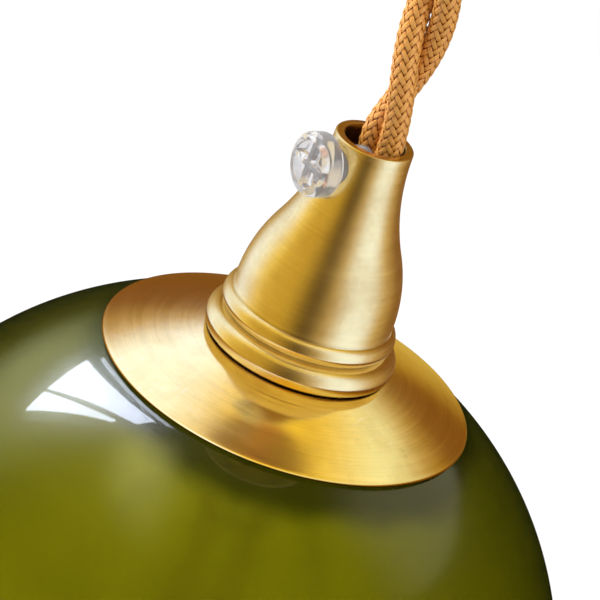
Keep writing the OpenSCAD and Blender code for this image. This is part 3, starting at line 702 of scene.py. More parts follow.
# %% [markdown]
# ## Plain solids
# Porcelain, nylon, rubber and the wire covers are not metals. They share one
# recipe: a base colour with a slow variation, a fine grain in the gloss and a
# small bump.
# %% Ceramic, plastic and rubber
def solid_finish(name, light, dark, rough, per_mm=2.0, bump_mm=0.02, **constants):
    finish, tree, shader = new_finish(name, **constants)
    texture = use(tree, grain, Per_mm=per_mm)
    wear = use(tree, tarnish, Size=9.0, Specks=0.4)
    base = tint(tree, spread(tree, texture["Slow"], 0.35, 0.65), colour(light), colour(dark))
    base = tint(tree, calc(tree, "MULTIPLY", wear["Specks"], 0.5), base, colour("4a4238"))
    fill(tree, shader.inputs["Base Color"], base)
    gloss = spread(tree, texture["Fine"], 0.3, 0.7, rough * 0.85, rough * 1.15)
    fill(tree, shader.inputs["Roughness"], gloss)
    raise_surface(tree, shader, texture["Fine"], bump_mm)
    return finish


porcelain = solid_finish("porcelain", "f3f0e6", "e6e1d2", 0.22, 0.8, 0.015, Coat_Weight=0.6,
                         Coat_Roughness=0.08)
white_nylon = solid_finish("white_nylon", "ecece6", "dddcd2", 0.42, 1.5, 0.02)
washer_rubber = solid_finish("washer_rubber", "33322f", "22211f", 0.7, 3.0, 0.04)
core_brown = solid_finish("core_brown", "6b4226", "54321b", 0.4, 3.0, 0.02)
core_blue = solid_finish("core_blue", "3c6fb0", "2d5a96", 0.4, 3.0, 0.02)
black_glass = solid_finish("black_glass", "1b1b1d", "101012", 0.15, 1.0, 0.01, Coat_Weight=0.5)
print("plain solids made")


# %% [markdown]
# ## Glass and clear plastic
# The globe is thick olive glass. Its colour belongs to the depth of the glass
# and not to its surface, so it comes from absorption in the volume: a light
# ray that crosses the wall at a slant goes browner than one that goes
# straight through. A few dust grains lie on the outside. The plate and the
# socket shade the glass round the neck, so the base colour is darker there.
# %% Glass
def glass_finish(name, density=0.0, absorb=(1, 1, 1, 1), rough=0.0, ior=1.5, dusty=0.0, wave_mm=0.0,
                 clear="ffffff", through=1.0, neck=None, **constants):
    """neck holds the shade's inner and outer radius and its middle, all in mm."""
    finish, tree, shader = new_finish(name, IOR=ior, Roughness=rough, Transmission_Weight=through,
                                      **constants)
    wear = use(tree, tarnish, Size=12.0, Specks=dusty)
    base = tint(tree, wear["Specks"], colour(clear), colour("c9c6b4"))
    if neck:
        middle = (neck[2] * MM, neck[3] * MM, plate_z * MM)
        away = put(tree, "VectorMath", {0: own_place(tree), 1: middle}, operation="DISTANCE").outputs["Value"]
        uneven = spread(tree, noise(tree, own_place(tree), 40, 2), 0.3, 0.7, -2 * MM, 2 * MM)
        shaded = eased(tree, calc(tree, "ADD", away, uneven), neck[0] * MM, neck[1] * MM, 1.0, 0.0)
        base = tint(tree, shaded, base, (0.2, 0.21, 0.18, 1))
        streaks = noise(tree, stretched(tree, own_place(tree), 22, 22, 60), 1.0, 2)
        base = tint(tree, spread(tree, streaks, 0.35, 0.65, 0, 0.16), base, colour("8d9058"))
    fill(tree, shader.inputs["Base Color"], base)
    dulled = calc(tree, "MULTIPLY", wear["Specks"], 0.5)
    fill(tree, shader.inputs["Roughness"], calc(tree, "ADD", rough, dulled))
    if wave_mm:
        slow = noise(tree, own_place(tree), 45, 2)
        raise_surface(tree, shader, slow, wave_mm)
    if density:
        volume = put(tree, "VolumeAbsorption", {"Color": absorb, "Density": density})
        tree.links.new(volume.outputs[0], tree.nodes["Material Output"].inputs["Volume"])
    return finish


print("glass recipe ready")

# %% [markdown]
# The globe is thick olive glass, the bulb is thin and clear, and the grip
# screw is a clear plastic that lets a little less light through. The bulb's
# filaments have a yellow coating, so they are soft solids and not glass.
# %% Glass, clear plastic and filaments
olive_glass = glass_finish("olive_glass", 1300.0, (0.775, 0.766, 0.03, 1), rough=0.24, ior=1.52, dusty=0.04,
                           wave_mm=0.1, neck=(36.0, 42.5, 1, -3), Coat_Weight=1.0, Coat_Roughness=0.02)
clear_glass = glass_finish("clear_glass", rough=0.0, ior=1.5, wave_mm=0.05)
stem_glass = glass_finish("stem_glass", rough=0.05, ior=1.5, clear="f4f6f2")
clear_plastic = glass_finish("clear_plastic", 20.0, (0.9, 0.9, 0.9, 1), rough=0.06, ior=1.49, wave_mm=0.1,
                             through=0.84, clear="fdfcff")


def filament_finish():
    finish, tree, shader = new_finish("filament_yellow", Roughness=0.45, Subsurface_Weight=0.2)
    texture = use(tree, grain, Per_mm=2.5)
    base = tint(tree, spread(tree, texture["Fine"], 0.35, 0.65), colour("f0cf4e"), colour("d9a92c"))
    fill(tree, shader.inputs["Base Color"], base)
    raise_surface(tree, shader, texture["Fine"], 0.05)
    return finish


filament_yellow = filament_finish()
print("glass made;", len(bpy.data.materials), "materials in all")

# %% [markdown]
# ## Turning shapes
# Most of this lamp was made on a lathe or blown in a round mould, so most
# pieces are a profile that is spun round the upright axis. `arc` gives the
# round parts of a profile and `bell` the two tangent arcs of the cap's side.
# In the next cell `turned` spins the closed profile.
# %% Profile helpers
def arc(centre_r, centre_h, radius, start, end, count=8):
    """Points of an arc, from start to end in degrees."""
    angles = [math.radians(start + (end - start) * i / count) for i in range(count + 1)]
    return [(centre_r + radius * math.cos(a), centre_h + radius * math.sin(a)) for a in angles]


def bell(r0, h0, r1, h1, share, steps=24):
    """Two arcs that meet smoothly, upright at both ends, from r0 up to the smaller r1."""
    a = 2 * math.atan((r0 - r1) / (h1 - h0))
    both = (h1 - h0) / math.sin(a)
    low, high = both * share, both * (1 - share)
    lower, upper = [], []
    for i in range(steps + 1):
        back_in, along = 1 - math.cos(a * i / steps), math.sin(a * i / steps)
        lower.append((r0 - low * back_in, h0 + low * along))
        upper.append((r1 + high * back_in, h1 - high * along))
    return lower + upper[-2::-1]


print("profiles can be drawn")

# %% [markdown]
# A full spin joins its last step to the first. A thread is cut afterwards: an
# upright stretch of the profile has many points close together, and each is
# moved in or out by its height and its turn round the axis.
# %% Spinning and threading
def turned(profile, base=None, steps=128):
    """A profile of (radius, height) in millimetres, spun into a bmesh. base is added to the heights."""
    base = plate_z if base is None else base
    bm = bmesh.new()
    verts = [bm.verts.new((max(r, 0), 0, base + h)) for r, h in profile]
    edges = [bm.edges.new(pair) for pair in zip(verts, verts[1:] + verts[:1])]
    bmesh.ops.spin(bm, geom=verts + edges, cent=(0, 0, 0), axis=(0, 0, 1), dvec=(0, 0, 0),
                   angle=2 * math.pi, steps=steps, use_merge=True, use_normal_flip=False, use_duplicate=False)
    bmesh.ops.remove_doubles(bm, verts=bm.verts, dist=2e-5)
    return bm


def cut_thread(bm, radius, low, high, pitch, depth, tolerance=0.2):
    """Moves the points of a round wall in or out, so that they follow a screw thread."""
    for v in bm.verts:
        r = math.hypot(v.co.x, v.co.y)
        if abs(r - radius) < tolerance and low <= v.co.z <= high:
            fade = min(1.0, (v.co.z - low) / pitch, (high - v.co.z) / pitch)
            wave = math.cos(2 * math.pi * v.co.z / pitch - math.atan2(v.co.y, v.co.x))
            new = r + fade * depth * (0.5 * wave - 0.5)
            v.co.x, v.co.y = v.co.x * new / r, v.co.y * new / r


def wall(radius, low, high, step):
    """Upright profile points, close enough for a thread."""
    count = max(1, round(abs(high - low) / step))
    return [(radius, low + (high - low) * i / count) for i in range(count + 1)]


print("profiles can be spun and threads cut")

# %% [markdown]
# ## Rounding edges and cutting holes
# The small pressed and drilled pieces already have their true shape in the
# frame. `dressed` takes such a node, merges its flat triangles and bevels its
# hard edges, because a real edge always catches a thin line of light.
# `cut_out` takes a rod out of a piece where a screw goes through it.
# %% Dressing and cutting
def dressed(name, node, body, finish, edge_mm, segments=2):
    """A CAD node's own shape with its edges rounded."""
    bm = bmesh.new()
    bm.from_mesh(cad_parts[node].data)
    bmesh.ops.scale(bm, vec=(1 / MM,) * 3, verts=bm.verts)
    bmesh.ops.remove_doubles(bm, verts=bm.verts, dist=1e-3)
    bmesh.ops.dissolve_limit(bm, angle_limit=math.radians(1), verts=bm.verts, edges=bm.edges,
                             use_dissolve_boundaries=False)
    hard = [e for e in bm.edges if len(e.link_faces) == 2 and e.calc_face_angle(0) > math.radians(35)]
    bmesh.ops.bevel(bm, geom=hard, offset=edge_mm, offset_type="OFFSET", segments=segments, affect="EDGES",
                    profile=0.5, material=-1, clamp_overlap=True)
    bmesh.ops.triangulate(bm, faces=[f for f in bm.faces if len(f.verts) > 4])
    return make_piece(name, bm, body, finish, [node])


def cut_out(piece, tool_bm):
    """Takes the tool's shape out of the piece."""
    tool = mesh_object("tool", tool_bm, piece.data.materials[0])
    cut = piece.modifiers.new("cut", "BOOLEAN")
    cut.operation, cut.object, cut.solver = "DIFFERENCE", tool, "EXACT"
    bpy.context.view_layer.update()
    graph = bpy.context.evaluated_depsgraph_get()
    mesh = bpy.data.meshes.new_from_object(piece.evaluated_get(graph))
    piece.modifiers.clear()
    piece.data = mesh
    mesh.set_sharp_from_angle(angle=math.radians(35))
    bpy.data.objects.remove(tool)


print("pieces can be dressed and drilled")

# %% [markdown]
# ## Ceiling rose
# The rose is a shallow brass cup, screwed sideways onto a steel strap. It is
# spun from its half section: one wall, a rounded corner and a floor with a
# hole for the outlet. The strap, the nut and the screws keep the CAD shape
# and only get their edges rounded, as pressed and turned parts have.
# %% Rose
rose = [(44, -0.15), (44, -20)] + arc(40, -20, 4, 0, -90, 10) + [(8.1, -24), (8.1, -25)] \
    + arc(40, -20, 5, -90, 0, 14) + [(45, -0.25)] + arc(44.75, -0.3, 0.25, 0, 90, 3)
cover = make_piece("rose_cover_turned", turned(rose, 0), "ceiling", rose_brass, ["rose_cover"])
side_holes = bmesh.new()
rod(side_holes, 2.1, 100, 32, 2)
bmesh.ops.translate(side_holes, vec=(0, 0, -50), verts=side_holes.verts)
onto_x = Matrix.Rotation(math.pi / 2, 3, "Y")
bmesh.ops.rotate(side_holes, cent=(0, 0, 0), matrix=onto_x, verts=side_holes.verts)
bmesh.ops.translate(side_holes, vec=(0, 0, -11), verts=side_holes.verts)
cut_out(cover, side_holes)
dressed("ceiling_strap_pressed", "ceiling_strap", "ceiling", strap_steel, 0.25)
dressed("side_screws_turned", "side_screws", "ceiling", screw_brass, 0.25)
dressed("outlet_nut_chamfered", "outlet_nut", "ceiling", fitting_brass, 0.3)
dressed("outlet_grub_slotted", "outlet_grub", "ceiling", steel_screw, 0.12)

# %% [markdown]
# ## Outlet of the flex
# A threaded tube holds the rose's floor, and its collar carries the flex. The
# thread is cut by moving the points of a finely divided wall: each point
# goes in by an amount that depends on its height and its direction, so the
# groove climbs like a real one.
# %% Outlet
outlet = [(6.05, -18.99), (6.05, -37.2)] + arc(6.85, -37.2, 0.8, 180, 270, 6) + [(8.5, -38)] \
    + arc(8.5, -36, 2, -90, 0, 12) + [(10.5, -25.4)] + arc(10.1, -25.4, 0.4, 0, 90, 4) \
    + wall(8, -25, -19.2, 0.16) + [(7.7, -19)]
outlet_bm = turned(outlet, 0)
cut_thread(outlet_bm, 8, -24.6, -19.2, 1.0, 0.5)
bush = make_piece("outlet_bush_turned", outlet_bm, "ceiling", fitting_brass, ["outlet_bush"])
grub_hole = bmesh.new()
rod(grub_hole, 2.06, 14, 32, 2)
onto_y = Matrix.Rotation(math.pi / 2, 3, "X")
bmesh.ops.rotate(grub_hole, cent=(0, 0, 0), matrix=onto_y, verts=grub_hole.verts)
bmesh.ops.translate(grub_hole, vec=(0, -1, -31.5), verts=grub_hole.verts)
cut_out(bush, grub_hole)

# %% [markdown]
# ## Connector and cores
# In the rose the two cores leave their braid and run to a nylon block. A core
# is a straight rod that is bent onto its own few points, which are smoothed
# first. The block's tubes and screws keep their CAD shape.
# %% Connector
dressed("connector_block_moulded", "connector_block", "ceiling", white_nylon, 0.35)
dressed("connector_tubes_drilled", "connector_tubes", "ceiling", fitting_brass, 0.12)
dressed("connector_screws_slotted", "connector_screws", "ceiling", steel_screw, 0.1)
CORE_D, WAY_Z, BLOCK_X = 2.4, -7.1, -8.0
CORE_SIDES, ROUTE_STEP, ROUNDING = 20, 0.6, 24


def smooth_route(points):
    """The points joined by straight lines, then rounded."""
    points = np.array(points, float)
    reach = np.concatenate([[0], np.cumsum(np.linalg.norm(np.diff(points, axis=0), axis=1))])
    at = np.linspace(0, reach[-1], max(4, round(reach[-1] / ROUTE_STEP)))
    line = np.stack([np.interp(at, reach, points[:, i]) for i in range(3)], 1)
    for _ in range(ROUNDING):
        line[1:-1] = line[1:-1] / 2 + (line[:-2] + line[2:]) / 4
    return line


def laid_core(name, points, body, finish):
    line = smooth_route(points)
    bm = bmesh.new()
    length = float(np.linalg.norm(np.diff(line, axis=0), axis=1).sum())
    rod(bm, CORE_D / 2, length, CORE_SIDES, len(line) - 1)
    laid_along(bm, line)
    return make_piece(name, bm, body, finish, sharp=60)


print("a core can be laid on its points")

# %% [markdown]
# Each core has two bare stretches of its own: from the tail of its braid to
# the block in the rose, and from the foot of its braid to a terminal in the
# cap. The first points follow the way that the braid ends.
# %% Cores in rose and cap
for side, label, finish in ((0, "live", core_brown), (180, "neutral", core_blue)):
    start = strand_route(side, TAIL_TOP - plate_z - 4, TAIL_TOP - plate_z)
    end, way = start[-1], (start[-1] - start[0]) / np.linalg.norm(start[-1] - start[0])
    y = 5.0 if side == 0 else -5.0
    lead = end + way * CORE_D / 2
    rise = WAY_Z - end[2]
    one = laid_core(f"rose_core_{label}", [
        end - way * 0.5, lead, (lead[0], lead[1] + (y - lead[1]) * 0.2, end[2] + rise * 0.45),
        (lead[0] - 0.6, lead[1] + (y - lead[1]) * 0.5, end[2] + rise * 0.8),
        (lead[0] - 2.6, lead[1] + (y - lead[1]) * 0.85, WAY_Z - 0.3), (BLOCK_X + 1.2, y, WAY_Z),
        (BLOCK_X - 0.8, y, WAY_Z)], "ceiling", finish)
    if side == 0:
        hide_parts("rose_cores")
    a = math.radians(-45 + side)
    low = strand_route(side, STRAND_LOW, STRAND_LOW + 4)
    down = (low[0] - low[-1]) / np.linalg.norm(low[0] - low[-1])
    lead = low[0] + down * CORE_D / 2
    to = np.array([6.5 * math.cos(a), 6.5 * math.sin(a), at_height(19.47)])
    over = to + np.array([0, 0, CORE_D / 2])
    first_third, last_third = lead + (over - lead) * 0.3, lead + (over - lead) * 0.7
    one = laid_core(f"cap_core_{label}", [
        low[0] - down * 0.5, lead, first_third - (0, 0, 0.4), last_third + (0, 0, 0.4), over, to],
        "lamp", finish)
    if side == 0:
        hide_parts("cap_cores")
dressed("rose_wire_ends_bare", "rose_wire_ends", "ceiling", copper_wire, 0.1)
dressed("cap_wire_ends_bare", "cap_wire_ends", "lamp", copper_wire, 0.1)

# %% [markdown]
# ## Lampholder cap
# The cap is one turned piece of brass: a rounded foot ring, a bead over it
# and a bell that draws in to a narrow neck. The half section holds the same
# circles and the same two tangent arcs as the solid, with the sharp inner
# corners softened, and a hole is cut for the grip screw.
# %% Cap
BEAD = FOOT + 7.6
outer = arc(16.05, FOOT + 2.4, 3, -53.1, 86, 26) + [(16.12, FOOT + 5.47)] \
    + arc(15.0, BEAD, 2.3, -58, 64, 20) + [(15.92, FOOT + 9.9)] \
    + bell(15.9, FOOT + 10.8, 7.75, RIM - 0.5, 0.4)
inner = [(5.95, RIM - 0.25)] + wall(5.95, RIM - 0.6, RIM - 3, 0.8) \
    + bell(13.95, FOOT + 10.8, 5.95, RIM - 3, 0.4)[-2::-1] + [(13.95, FOOT)]
cap_profile = outer + arc(7.25, RIM - 0.5, 0.5, 10, 90, 5) + [(6.2, RIM)] + inner
cap = make_piece("holder_cap_turned", turned(cap_profile, steps=160), "lamp", cap_brass, ["holder_cap"])
GRIP_H = RIM - 5.6
GRIP_DIR = Vector((math.cos(math.radians(221)), math.sin(math.radians(221)), 0))
grip_hole = bmesh.new()
rod(grip_hole, 4.06, 16, 48, 2)
onto_grip = Vector((0, 0, 1)).rotation_difference(GRIP_DIR).to_matrix()
bmesh.ops.rotate(grip_hole, cent=(0, 0, 0), matrix=onto_grip, verts=grip_hole.verts)
bmesh.ops.translate(grip_hole, vec=(0, 0, at_height(GRIP_H)), verts=grip_hole.verts)
cut_out(cap, grip_hole)

# %% [markdown]
# ## Cover plate
# The plate is a shallow dome of sheet brass with a flat seat in its middle.
# Its edge is rolled smooth, which gives the thin bright line round it.
# %% Plate
DOME, DOME_H = 84.0, -75.412


def dome_arc(radius, r_from, r_to, count):
    return [(r, DOME_H + math.sqrt(radius ** 2 - r ** 2)) for r in np.linspace(r_from, r_to, count)]


PLATE_T = 0.8
seat_r = math.sqrt((DOME - PLATE_T) ** 2 - (FOOT - PLATE_T - DOME_H) ** 2)
edge_h = DOME_H + math.sqrt(DOME ** 2 - 36.62 ** 2) - 0.41
plate = [(14.15, FOOT), (17.6, FOOT)] + dome_arc(DOME, 18.0, 36.7, 34) + arc(36.6, edge_h, 0.4, 60, -90, 7) \
    + dome_arc(DOME - PLATE_T, 36.4, seat_r + 0.2, 24) \
    + [(seat_r - 0.2, FOOT - PLATE_T), (14.15, FOOT - PLATE_T)]
make_piece("cover_plate_spun", turned(plate, steps=180), "lamp", plate_brass, ["cover_plate"])


def washer(name, node, inner_r, outer_r, low, high, body):
    r = 0.12
    profile = arc(inner_r + r, low + r, r, 270, 180, 3) + arc(inner_r + r, high - r, r, 180, 90, 3) \
        + arc(outer_r - r, high - r, r, 90, 0, 3) + arc(outer_r - r, low + r, r, 0, -90, 3)
    return make_piece(name, turned(profile), body, washer_rubber, [node])


washer("top_washer_soft", "top_washer", 14.16, 16.84, FOOT - 1.4, FOOT - 0.8, "lamp")
washer("low_washer_soft", "low_washer", 14.62, 19.99, 1.62, 2.618, "globe")

# %% [markdown]
# ## Glass globe
# The globe is blown glass with a flattened crown that fits the plate, a
# ground hole for the socket and a wide open mouth with a melted, round rim.
# The crown and the ball meet in a soft curve, so that part of the profile is
# averaged a little before it is spun.
# %% Globe
GLOBE_H, GLOBE_R, GLASS_T, CROWN_R = -66.10, 75.0, 2.5, 82.95
globe_turn = math.asin(44 / (GLOBE_R - GLASS_T / 2))
half_wall = GLOBE_R - GLASS_T / 2
rim_r, rim_h = half_wall * math.sin(globe_turn), GLOBE_H - half_wall * math.cos(globe_turn)
TOP, UNDER = 5.219, 2.619
flat_r = math.sqrt(CROWN_R ** 2 - (TOP - DOME_H) ** 2)
meet_h = (CROWN_R ** 2 - GLOBE_R ** 2 - DOME_H ** 2 + GLOBE_H ** 2) / (2 * (GLOBE_H - DOME_H))
meet_r = math.sqrt(GLOBE_R ** 2 - (meet_h - GLOBE_H) ** 2)
meet_angle = math.degrees(math.acos(meet_r / GLOBE_R))
crown = dome_arc(CROWN_R, flat_r, meet_r, 30)
ball = arc(0, GLOBE_H, GLOBE_R, meet_angle, math.degrees(globe_turn) - 90, 90)
line = np.array(crown + ball[1:])
for _ in range(30):
    line[1:-1] = line[1:-1] / 2 + (line[:-2] + line[2:]) / 4
outside = [tuple(p) for p in line]
rim_arc = arc(rim_r, rim_h, GLASS_T / 2, math.degrees(globe_turn) - 90, math.degrees(globe_turn) - 270, 12)
inside_top = math.degrees(math.asin((UNDER - GLOBE_H) / (GLOBE_R - GLASS_T)))
inside = arc(0, GLOBE_H, GLOBE_R - GLASS_T, math.degrees(globe_turn) - 90, inside_top, 90)
globe_profile = [(14.75, TOP), (flat_r - 0.3, TOP)] + outside + rim_arc[1:] + inside[1:] \
    + [(14.75, UNDER), (14.6, UNDER + 0.15), (14.6, TOP - 0.15)]
make_piece("glass_globe_blown", turned(globe_profile, steps=192), "globe", olive_glass, ["glass_globe"])

# %% [markdown]
# ## Socket
# Under the plate a threaded skirt reaches through the globe's hole, and a
# knurled ring is screwed onto it from below to clamp the glass. Inside sit
# the porcelain insert, the screw shell with its rolled thread, and the
# spring tongue of the live contact.
# %% Skirt, insert and shell
skirt = [(13.9, 13.3), (13.75, 13.47), (12.6, 13.47), (12.6, -10.8), (9.2, -10.8), (9.2, -12), (13.6, -12)] \
    + wall(13.9, -11.7, 13.3, 0.25)[:-1]
skirt_bm = turned(skirt)
cut_thread(skirt_bm, 13.9, at_height(-11.6), at_height(13.2), 2.0, 0.55)
make_piece("threaded_skirt_cut", skirt_bm, "lamp", fitting_brass, ["threaded_skirt"])
insert = [(12.35, -10.79), (12.54, -10.6)] + [(12.54, 12.2), (12.3, 12.46), (0, 12.46)]
bore = [(0, 9.47), (7.5, 9.47)] + arc(7.5, 9.22, 0.25, 90, 0, 3) + [(7.76, -10.5), (8.05, -10.79)]
make_piece("porcelain_insert_glazed", turned(insert + bore), "lamp", porcelain, ["porcelain_insert"])
shell = wall(7.7, -9.8, 9.3, 0.3) + wall(7.25, 9.3, -9.8, 0.3)
shell_bm = turned(shell, steps=96)
cut_thread(shell_bm, 7.7, at_height(-9.2), at_height(7.5), 2.82, 0.2, 0.1)
cut_thread(shell_bm, 7.25, at_height(-9.2), at_height(7.5), 2.82, 0.2, 0.1)
make_piece("screw_shell_rolled", shell_bm, "lamp", fitting_brass, ["screw_shell"])
dressed("shade_ring_knurled", "shade_ring", "ring", ring_brass, 0.22)
dressed("live_tongue_sprung", "live_tongue", "lamp", contact_metal, 0.1)
dressed("terminal_pillars_drilled", "terminal_pillars", "lamp", fitting_brass, 0.12)
dressed("terminal_screws_slotted", "terminal_screws", "lamp", steel_screw, 0.1)

# %% [markdown]
# ## Grip screw
# A clear plastic screw pinches the flex in the neck. Its head is a turned
# button with a four-lobed recess.
# %% Grip screw
dressed("grip_screw_clear", "grip_screw", "grip", clear_plastic, 0.3, segments=3)
dressed("grip_pad_clear", "grip_pad", "grip_end", clear_plastic, 0.15)

# %% [markdown]
# ## Bulb
# A small filament bulb sits in the socket: a nickel cap with a rolled thread,
# a ball of thin clear glass, and four straight light filaments on a glass
# stem. The thread is cut like the outlet's.
# %% Bulb
CAP_TOP, CAP_LOW, ROOT = 5.469, -14.2, 6.45
BALL_H, BALL_R, NECK_R = -47.03, 22.5, 7.35
cap_wall = wall(ROOT + 0.5, CAP_LOW + 3.2, CAP_TOP - 0.9, 0.24)
nickel = [(7.6, CAP_LOW), (7.85, CAP_LOW + 0.2), (7.85, CAP_LOW + 1), (ROOT + 0.05, CAP_LOW + 2.6)] \
    + cap_wall \
    + [(ROOT - 0.4, CAP_TOP - 0.2), (ROOT - 1.0, CAP_TOP - 0.02), (0, CAP_TOP - 0.02), (0, CAP_TOP - 0.6),
       (6.05, CAP_TOP - 0.6), (6.05, CAP_LOW + 1.5), (7.3, CAP_LOW)]
nickel_bm = turned(nickel, steps=96)
cut_thread(nickel_bm, ROOT + 0.5, at_height(CAP_LOW + 3.2), at_height(CAP_TOP - 0.9), 2.82, 0.5)
make_piece("bulb_cap_rolled", nickel_bm, "bulb", cap_nickel, ["bulb_cap"])
drop = [(4.95, CAP_TOP), (4.95, CAP_TOP + 0.3)] + arc(4.4, CAP_TOP + 0.3, 0.5, 0, 60, 3) \
    + [(2.6, CAP_TOP + 1.79)]
make_piece("bulb_insulator_pressed", turned(drop + [(0, CAP_TOP + 1.79), (0, CAP_TOP)]), "bulb", black_glass,
           ["bulb_insulator"])
dressed("contact_button_soldered", "contact_button", "bulb_end", contact_metal, 0.4, segments=4)


def bulb_half(inset):
    r = BALL_R - inset
    return arc(0, BALL_H, r, -90, 0, 40) + bell(r, BALL_H, NECK_R - inset, CAP_LOW - 0.01, 0.5, 20)[1:]


ball_glass = bulb_half(0) + [(NECK_R - 0.8, CAP_LOW - 0.01)] + bulb_half(0.8)[::-1][1:]
make_piece("bulb_glass_blown", turned(ball_glass, steps=128), "bulb", clear_glass, ["bulb_glass"])
STEM_TOP = CAP_LOW - 0.8
stem = [(0, STEM_TOP), (3.6, STEM_TOP), (3.3, STEM_TOP - 3), (2.0, STEM_TOP - 9), (1.45, STEM_TOP - 16),
        (1.4, STEM_TOP - 19.4), (1.0, STEM_TOP - 19.9), (0, STEM_TOP - 20)]
make_piece("bulb_stem_drawn", turned(stem, steps=48), "bulb", stem_glass, ["bulb_stem"])
dressed("bulb_filaments_coated", "bulb_filaments", "bulb", filament_yellow, 0.25)

# %% [markdown]
# ## Floor and background
# A pale floor lies far below the lamp. The camera sees it nearly white, and
# so do rays that pass through glass, while it still keeps the soft shadow.
# From underneath it is clear, so that a view from below shows the lamp.
# %% Floor
LIGHT_BACKGROUND = 1.1


def stage_material(name):
    made = bpy.data.materials.new(name)
    made.use_nodes = True
    made.node_tree.nodes.clear()
    tree = made.node_tree
    return made, tree, tree.nodes.new("ShaderNodeOutputMaterial")


def seen_directly(tree):
    """1 for a ray from the camera, through glass or off a mirror, and 0 for one that only lights things."""
    ray = put(tree, "LightPath").outputs
    seen = calc(tree, "MAXIMUM", ray["Is Camera Ray"], ray["Is Transmission Ray"])
    return calc(tree, "MAXIMUM", seen, ray["Is Glossy Ray"])


floor_finish, tree, out = stage_material("pale_floor")
plain = put(tree, "BsdfDiffuse", {"Color": (0.8, 0.8, 0.79, 1)}).outputs[0]
white = shining(tree, (1, 1, 1, 1), LIGHT_BACKGROUND)
share = calc(tree, "MULTIPLY", seen_directly(tree), 0.85)
mixed = put(tree, "MixShader", {0: share, 1: plain, 2: white}).outputs[0]
from_below = put(tree, "NewGeometry").outputs["Backfacing"]
clear = put(tree, "BsdfTransparent").outputs[0]
open_floor = put(tree, "MixShader", {0: from_below, 1: mixed, 2: clear}).outputs[0]
fill(tree, out.inputs["Surface"], open_floor)
floor_bm = bmesh.new()
bmesh.ops.create_grid(floor_bm, x_segments=1, y_segments=1, size=6)
bmesh.ops.translate(floor_bm, vec=(0, 0, -1.0), verts=floor_bm.verts)
floor_mesh = bpy.data.meshes.new("floor")
floor_bm.to_mesh(floor_mesh)
floor_mesh.materials.append(floor_finish)
floor = bpy.data.objects.new("floor", floor_mesh)
bpy.context.collection.objects.link(floor)
floor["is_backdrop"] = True
print("floor ready")

# %% [markdown]
# The background does the same in two ways: what is seen is plain white, and
# what lights the lamp is a dimmer, slightly warm glow from all sides.
# %% Background
world = bpy.data.worlds.new("world")
bpy.context.scene.world = world
world.use_nodes = True
tree = world.node_tree
tree.nodes.clear()
ambient = put(tree, "Background", {"Color": (1.0, 0.985, 0.96, 1), "Strength": 0.42}).outputs[0]
pale = put(tree, "Background", {"Color": (1, 1, 1, 1), "Strength": 1.0}).outputs[0]
mixed = put(tree, "MixShader", {0: seen_directly(tree), 1: ambient, 2: pale}).outputs[0]
fill(tree, put(tree, "OutputWorld").inputs["Surface"], mixed)
print("background ready")

# %% [markdown]
# ## What the brass and the glass reflect
# Turned brass looks like brass because of what it mirrors, and clear glass
# shows little but its reflections. So the metal gets a room of light and
# dark upright strips, and the glass a dark room with a window. Each is a thin
# glowing shell that rays pass through, so the shells add up, and light
# linking shows each one only to the pieces that it was made for. They are
# seen in reflections alone and put no light on anything.
# %% Who sees which room
LAMP_MIDDLE = Vector((0, 0, -0.19))
BRASSES = (cap_brass, rose_brass, fitting_brass, ring_brass, screw_brass, copper_wire)


def audience(name, finishes):
    group = bpy.data.collections.new(name)
    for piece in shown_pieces():
        if piece.type == "MESH" and piece.data.materials and piece.data.materials[0] in finishes:
            group.objects.link(piece)
    return group


plate_pieces = audience("plate_pieces", (plate_brass,))
brass_pieces = audience("brass_pieces", BRASSES)
glass_pieces = audience("glass_pieces", (olive_glass, clear_glass, stem_glass))
plastic_pieces = audience("plastic_pieces", (clear_plastic, porcelain, white_nylon, strap_steel, steel_screw,
                                             contact_metal, cap_nickel))
cloth_pieces = audience("cloth_pieces", (braided_textile,))

# %% [markdown]
# A shell or a card of the stage is made the same way each time: it is a mesh
# that only reflections can see, and its material adds light to whatever is
# behind it. Directions are an azimuth round the lamp, from the front, and an
# elevation.
# %% Shells that glow
def direction(azimuth, elevation):
    a, e = math.radians(azimuth), math.radians(elevation)
    return Vector((math.sin(a) * math.cos(e), -math.cos(a) * math.cos(e), math.sin(e)))


def stage_mesh(name, bm, finish, seen_by=None, glossy=True, transmission=False):
    mesh = bpy.data.meshes.new(name)
    bm.to_mesh(mesh)
    bm.free()
    mesh.materials.append(finish)
    made = bpy.data.objects.new(name, mesh)
    bpy.context.collection.objects.link(made)
    made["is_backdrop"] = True
    made.visible_camera = made.visible_diffuse = made.visible_volume_scatter = made.visible_shadow = False
    made.visible_glossy, made.visible_transmission = glossy, transmission
    if seen_by:
        made.light_linking.receiver_collection = seen_by
    return made


def glow(tree, out, tone, strength):
    """Light that is added to whatever lies behind it."""
    clear = put(tree, "BsdfTransparent").outputs[0]
    both = put(tree, "AddShader", {0: shining(tree, tone, strength), 1: clear}).outputs[0]
    fill(tree, out.inputs["Surface"], both)


def dome(radius):
    bm = bmesh.new()
    bmesh.ops.create_icosphere(bm, subdivisions=3, radius=radius)
    bmesh.ops.reverse_faces(bm, faces=bm.faces)
    bmesh.ops.translate(bm, vec=LAMP_MIDDLE, verts=bm.verts)
    return bm


print("shells can be made")

# %% [markdown]
# A card stands in for a window or a wall. It is a bent sheet between four
# directions, whose sides can fade. Its UV map runs from 0 to 1 across it,
# which is all that the fading needs.
# %% Cards that glow
STAGE_AWAY = 2.0         # metres from the lamp to the cards and the soft lamps


def box_of(azimuths, elevations):
    (a0, a1), (e0, e1) = azimuths, elevations
    return [(a0, e0), (a1, e0), (a1, e1), (a0, e1)]


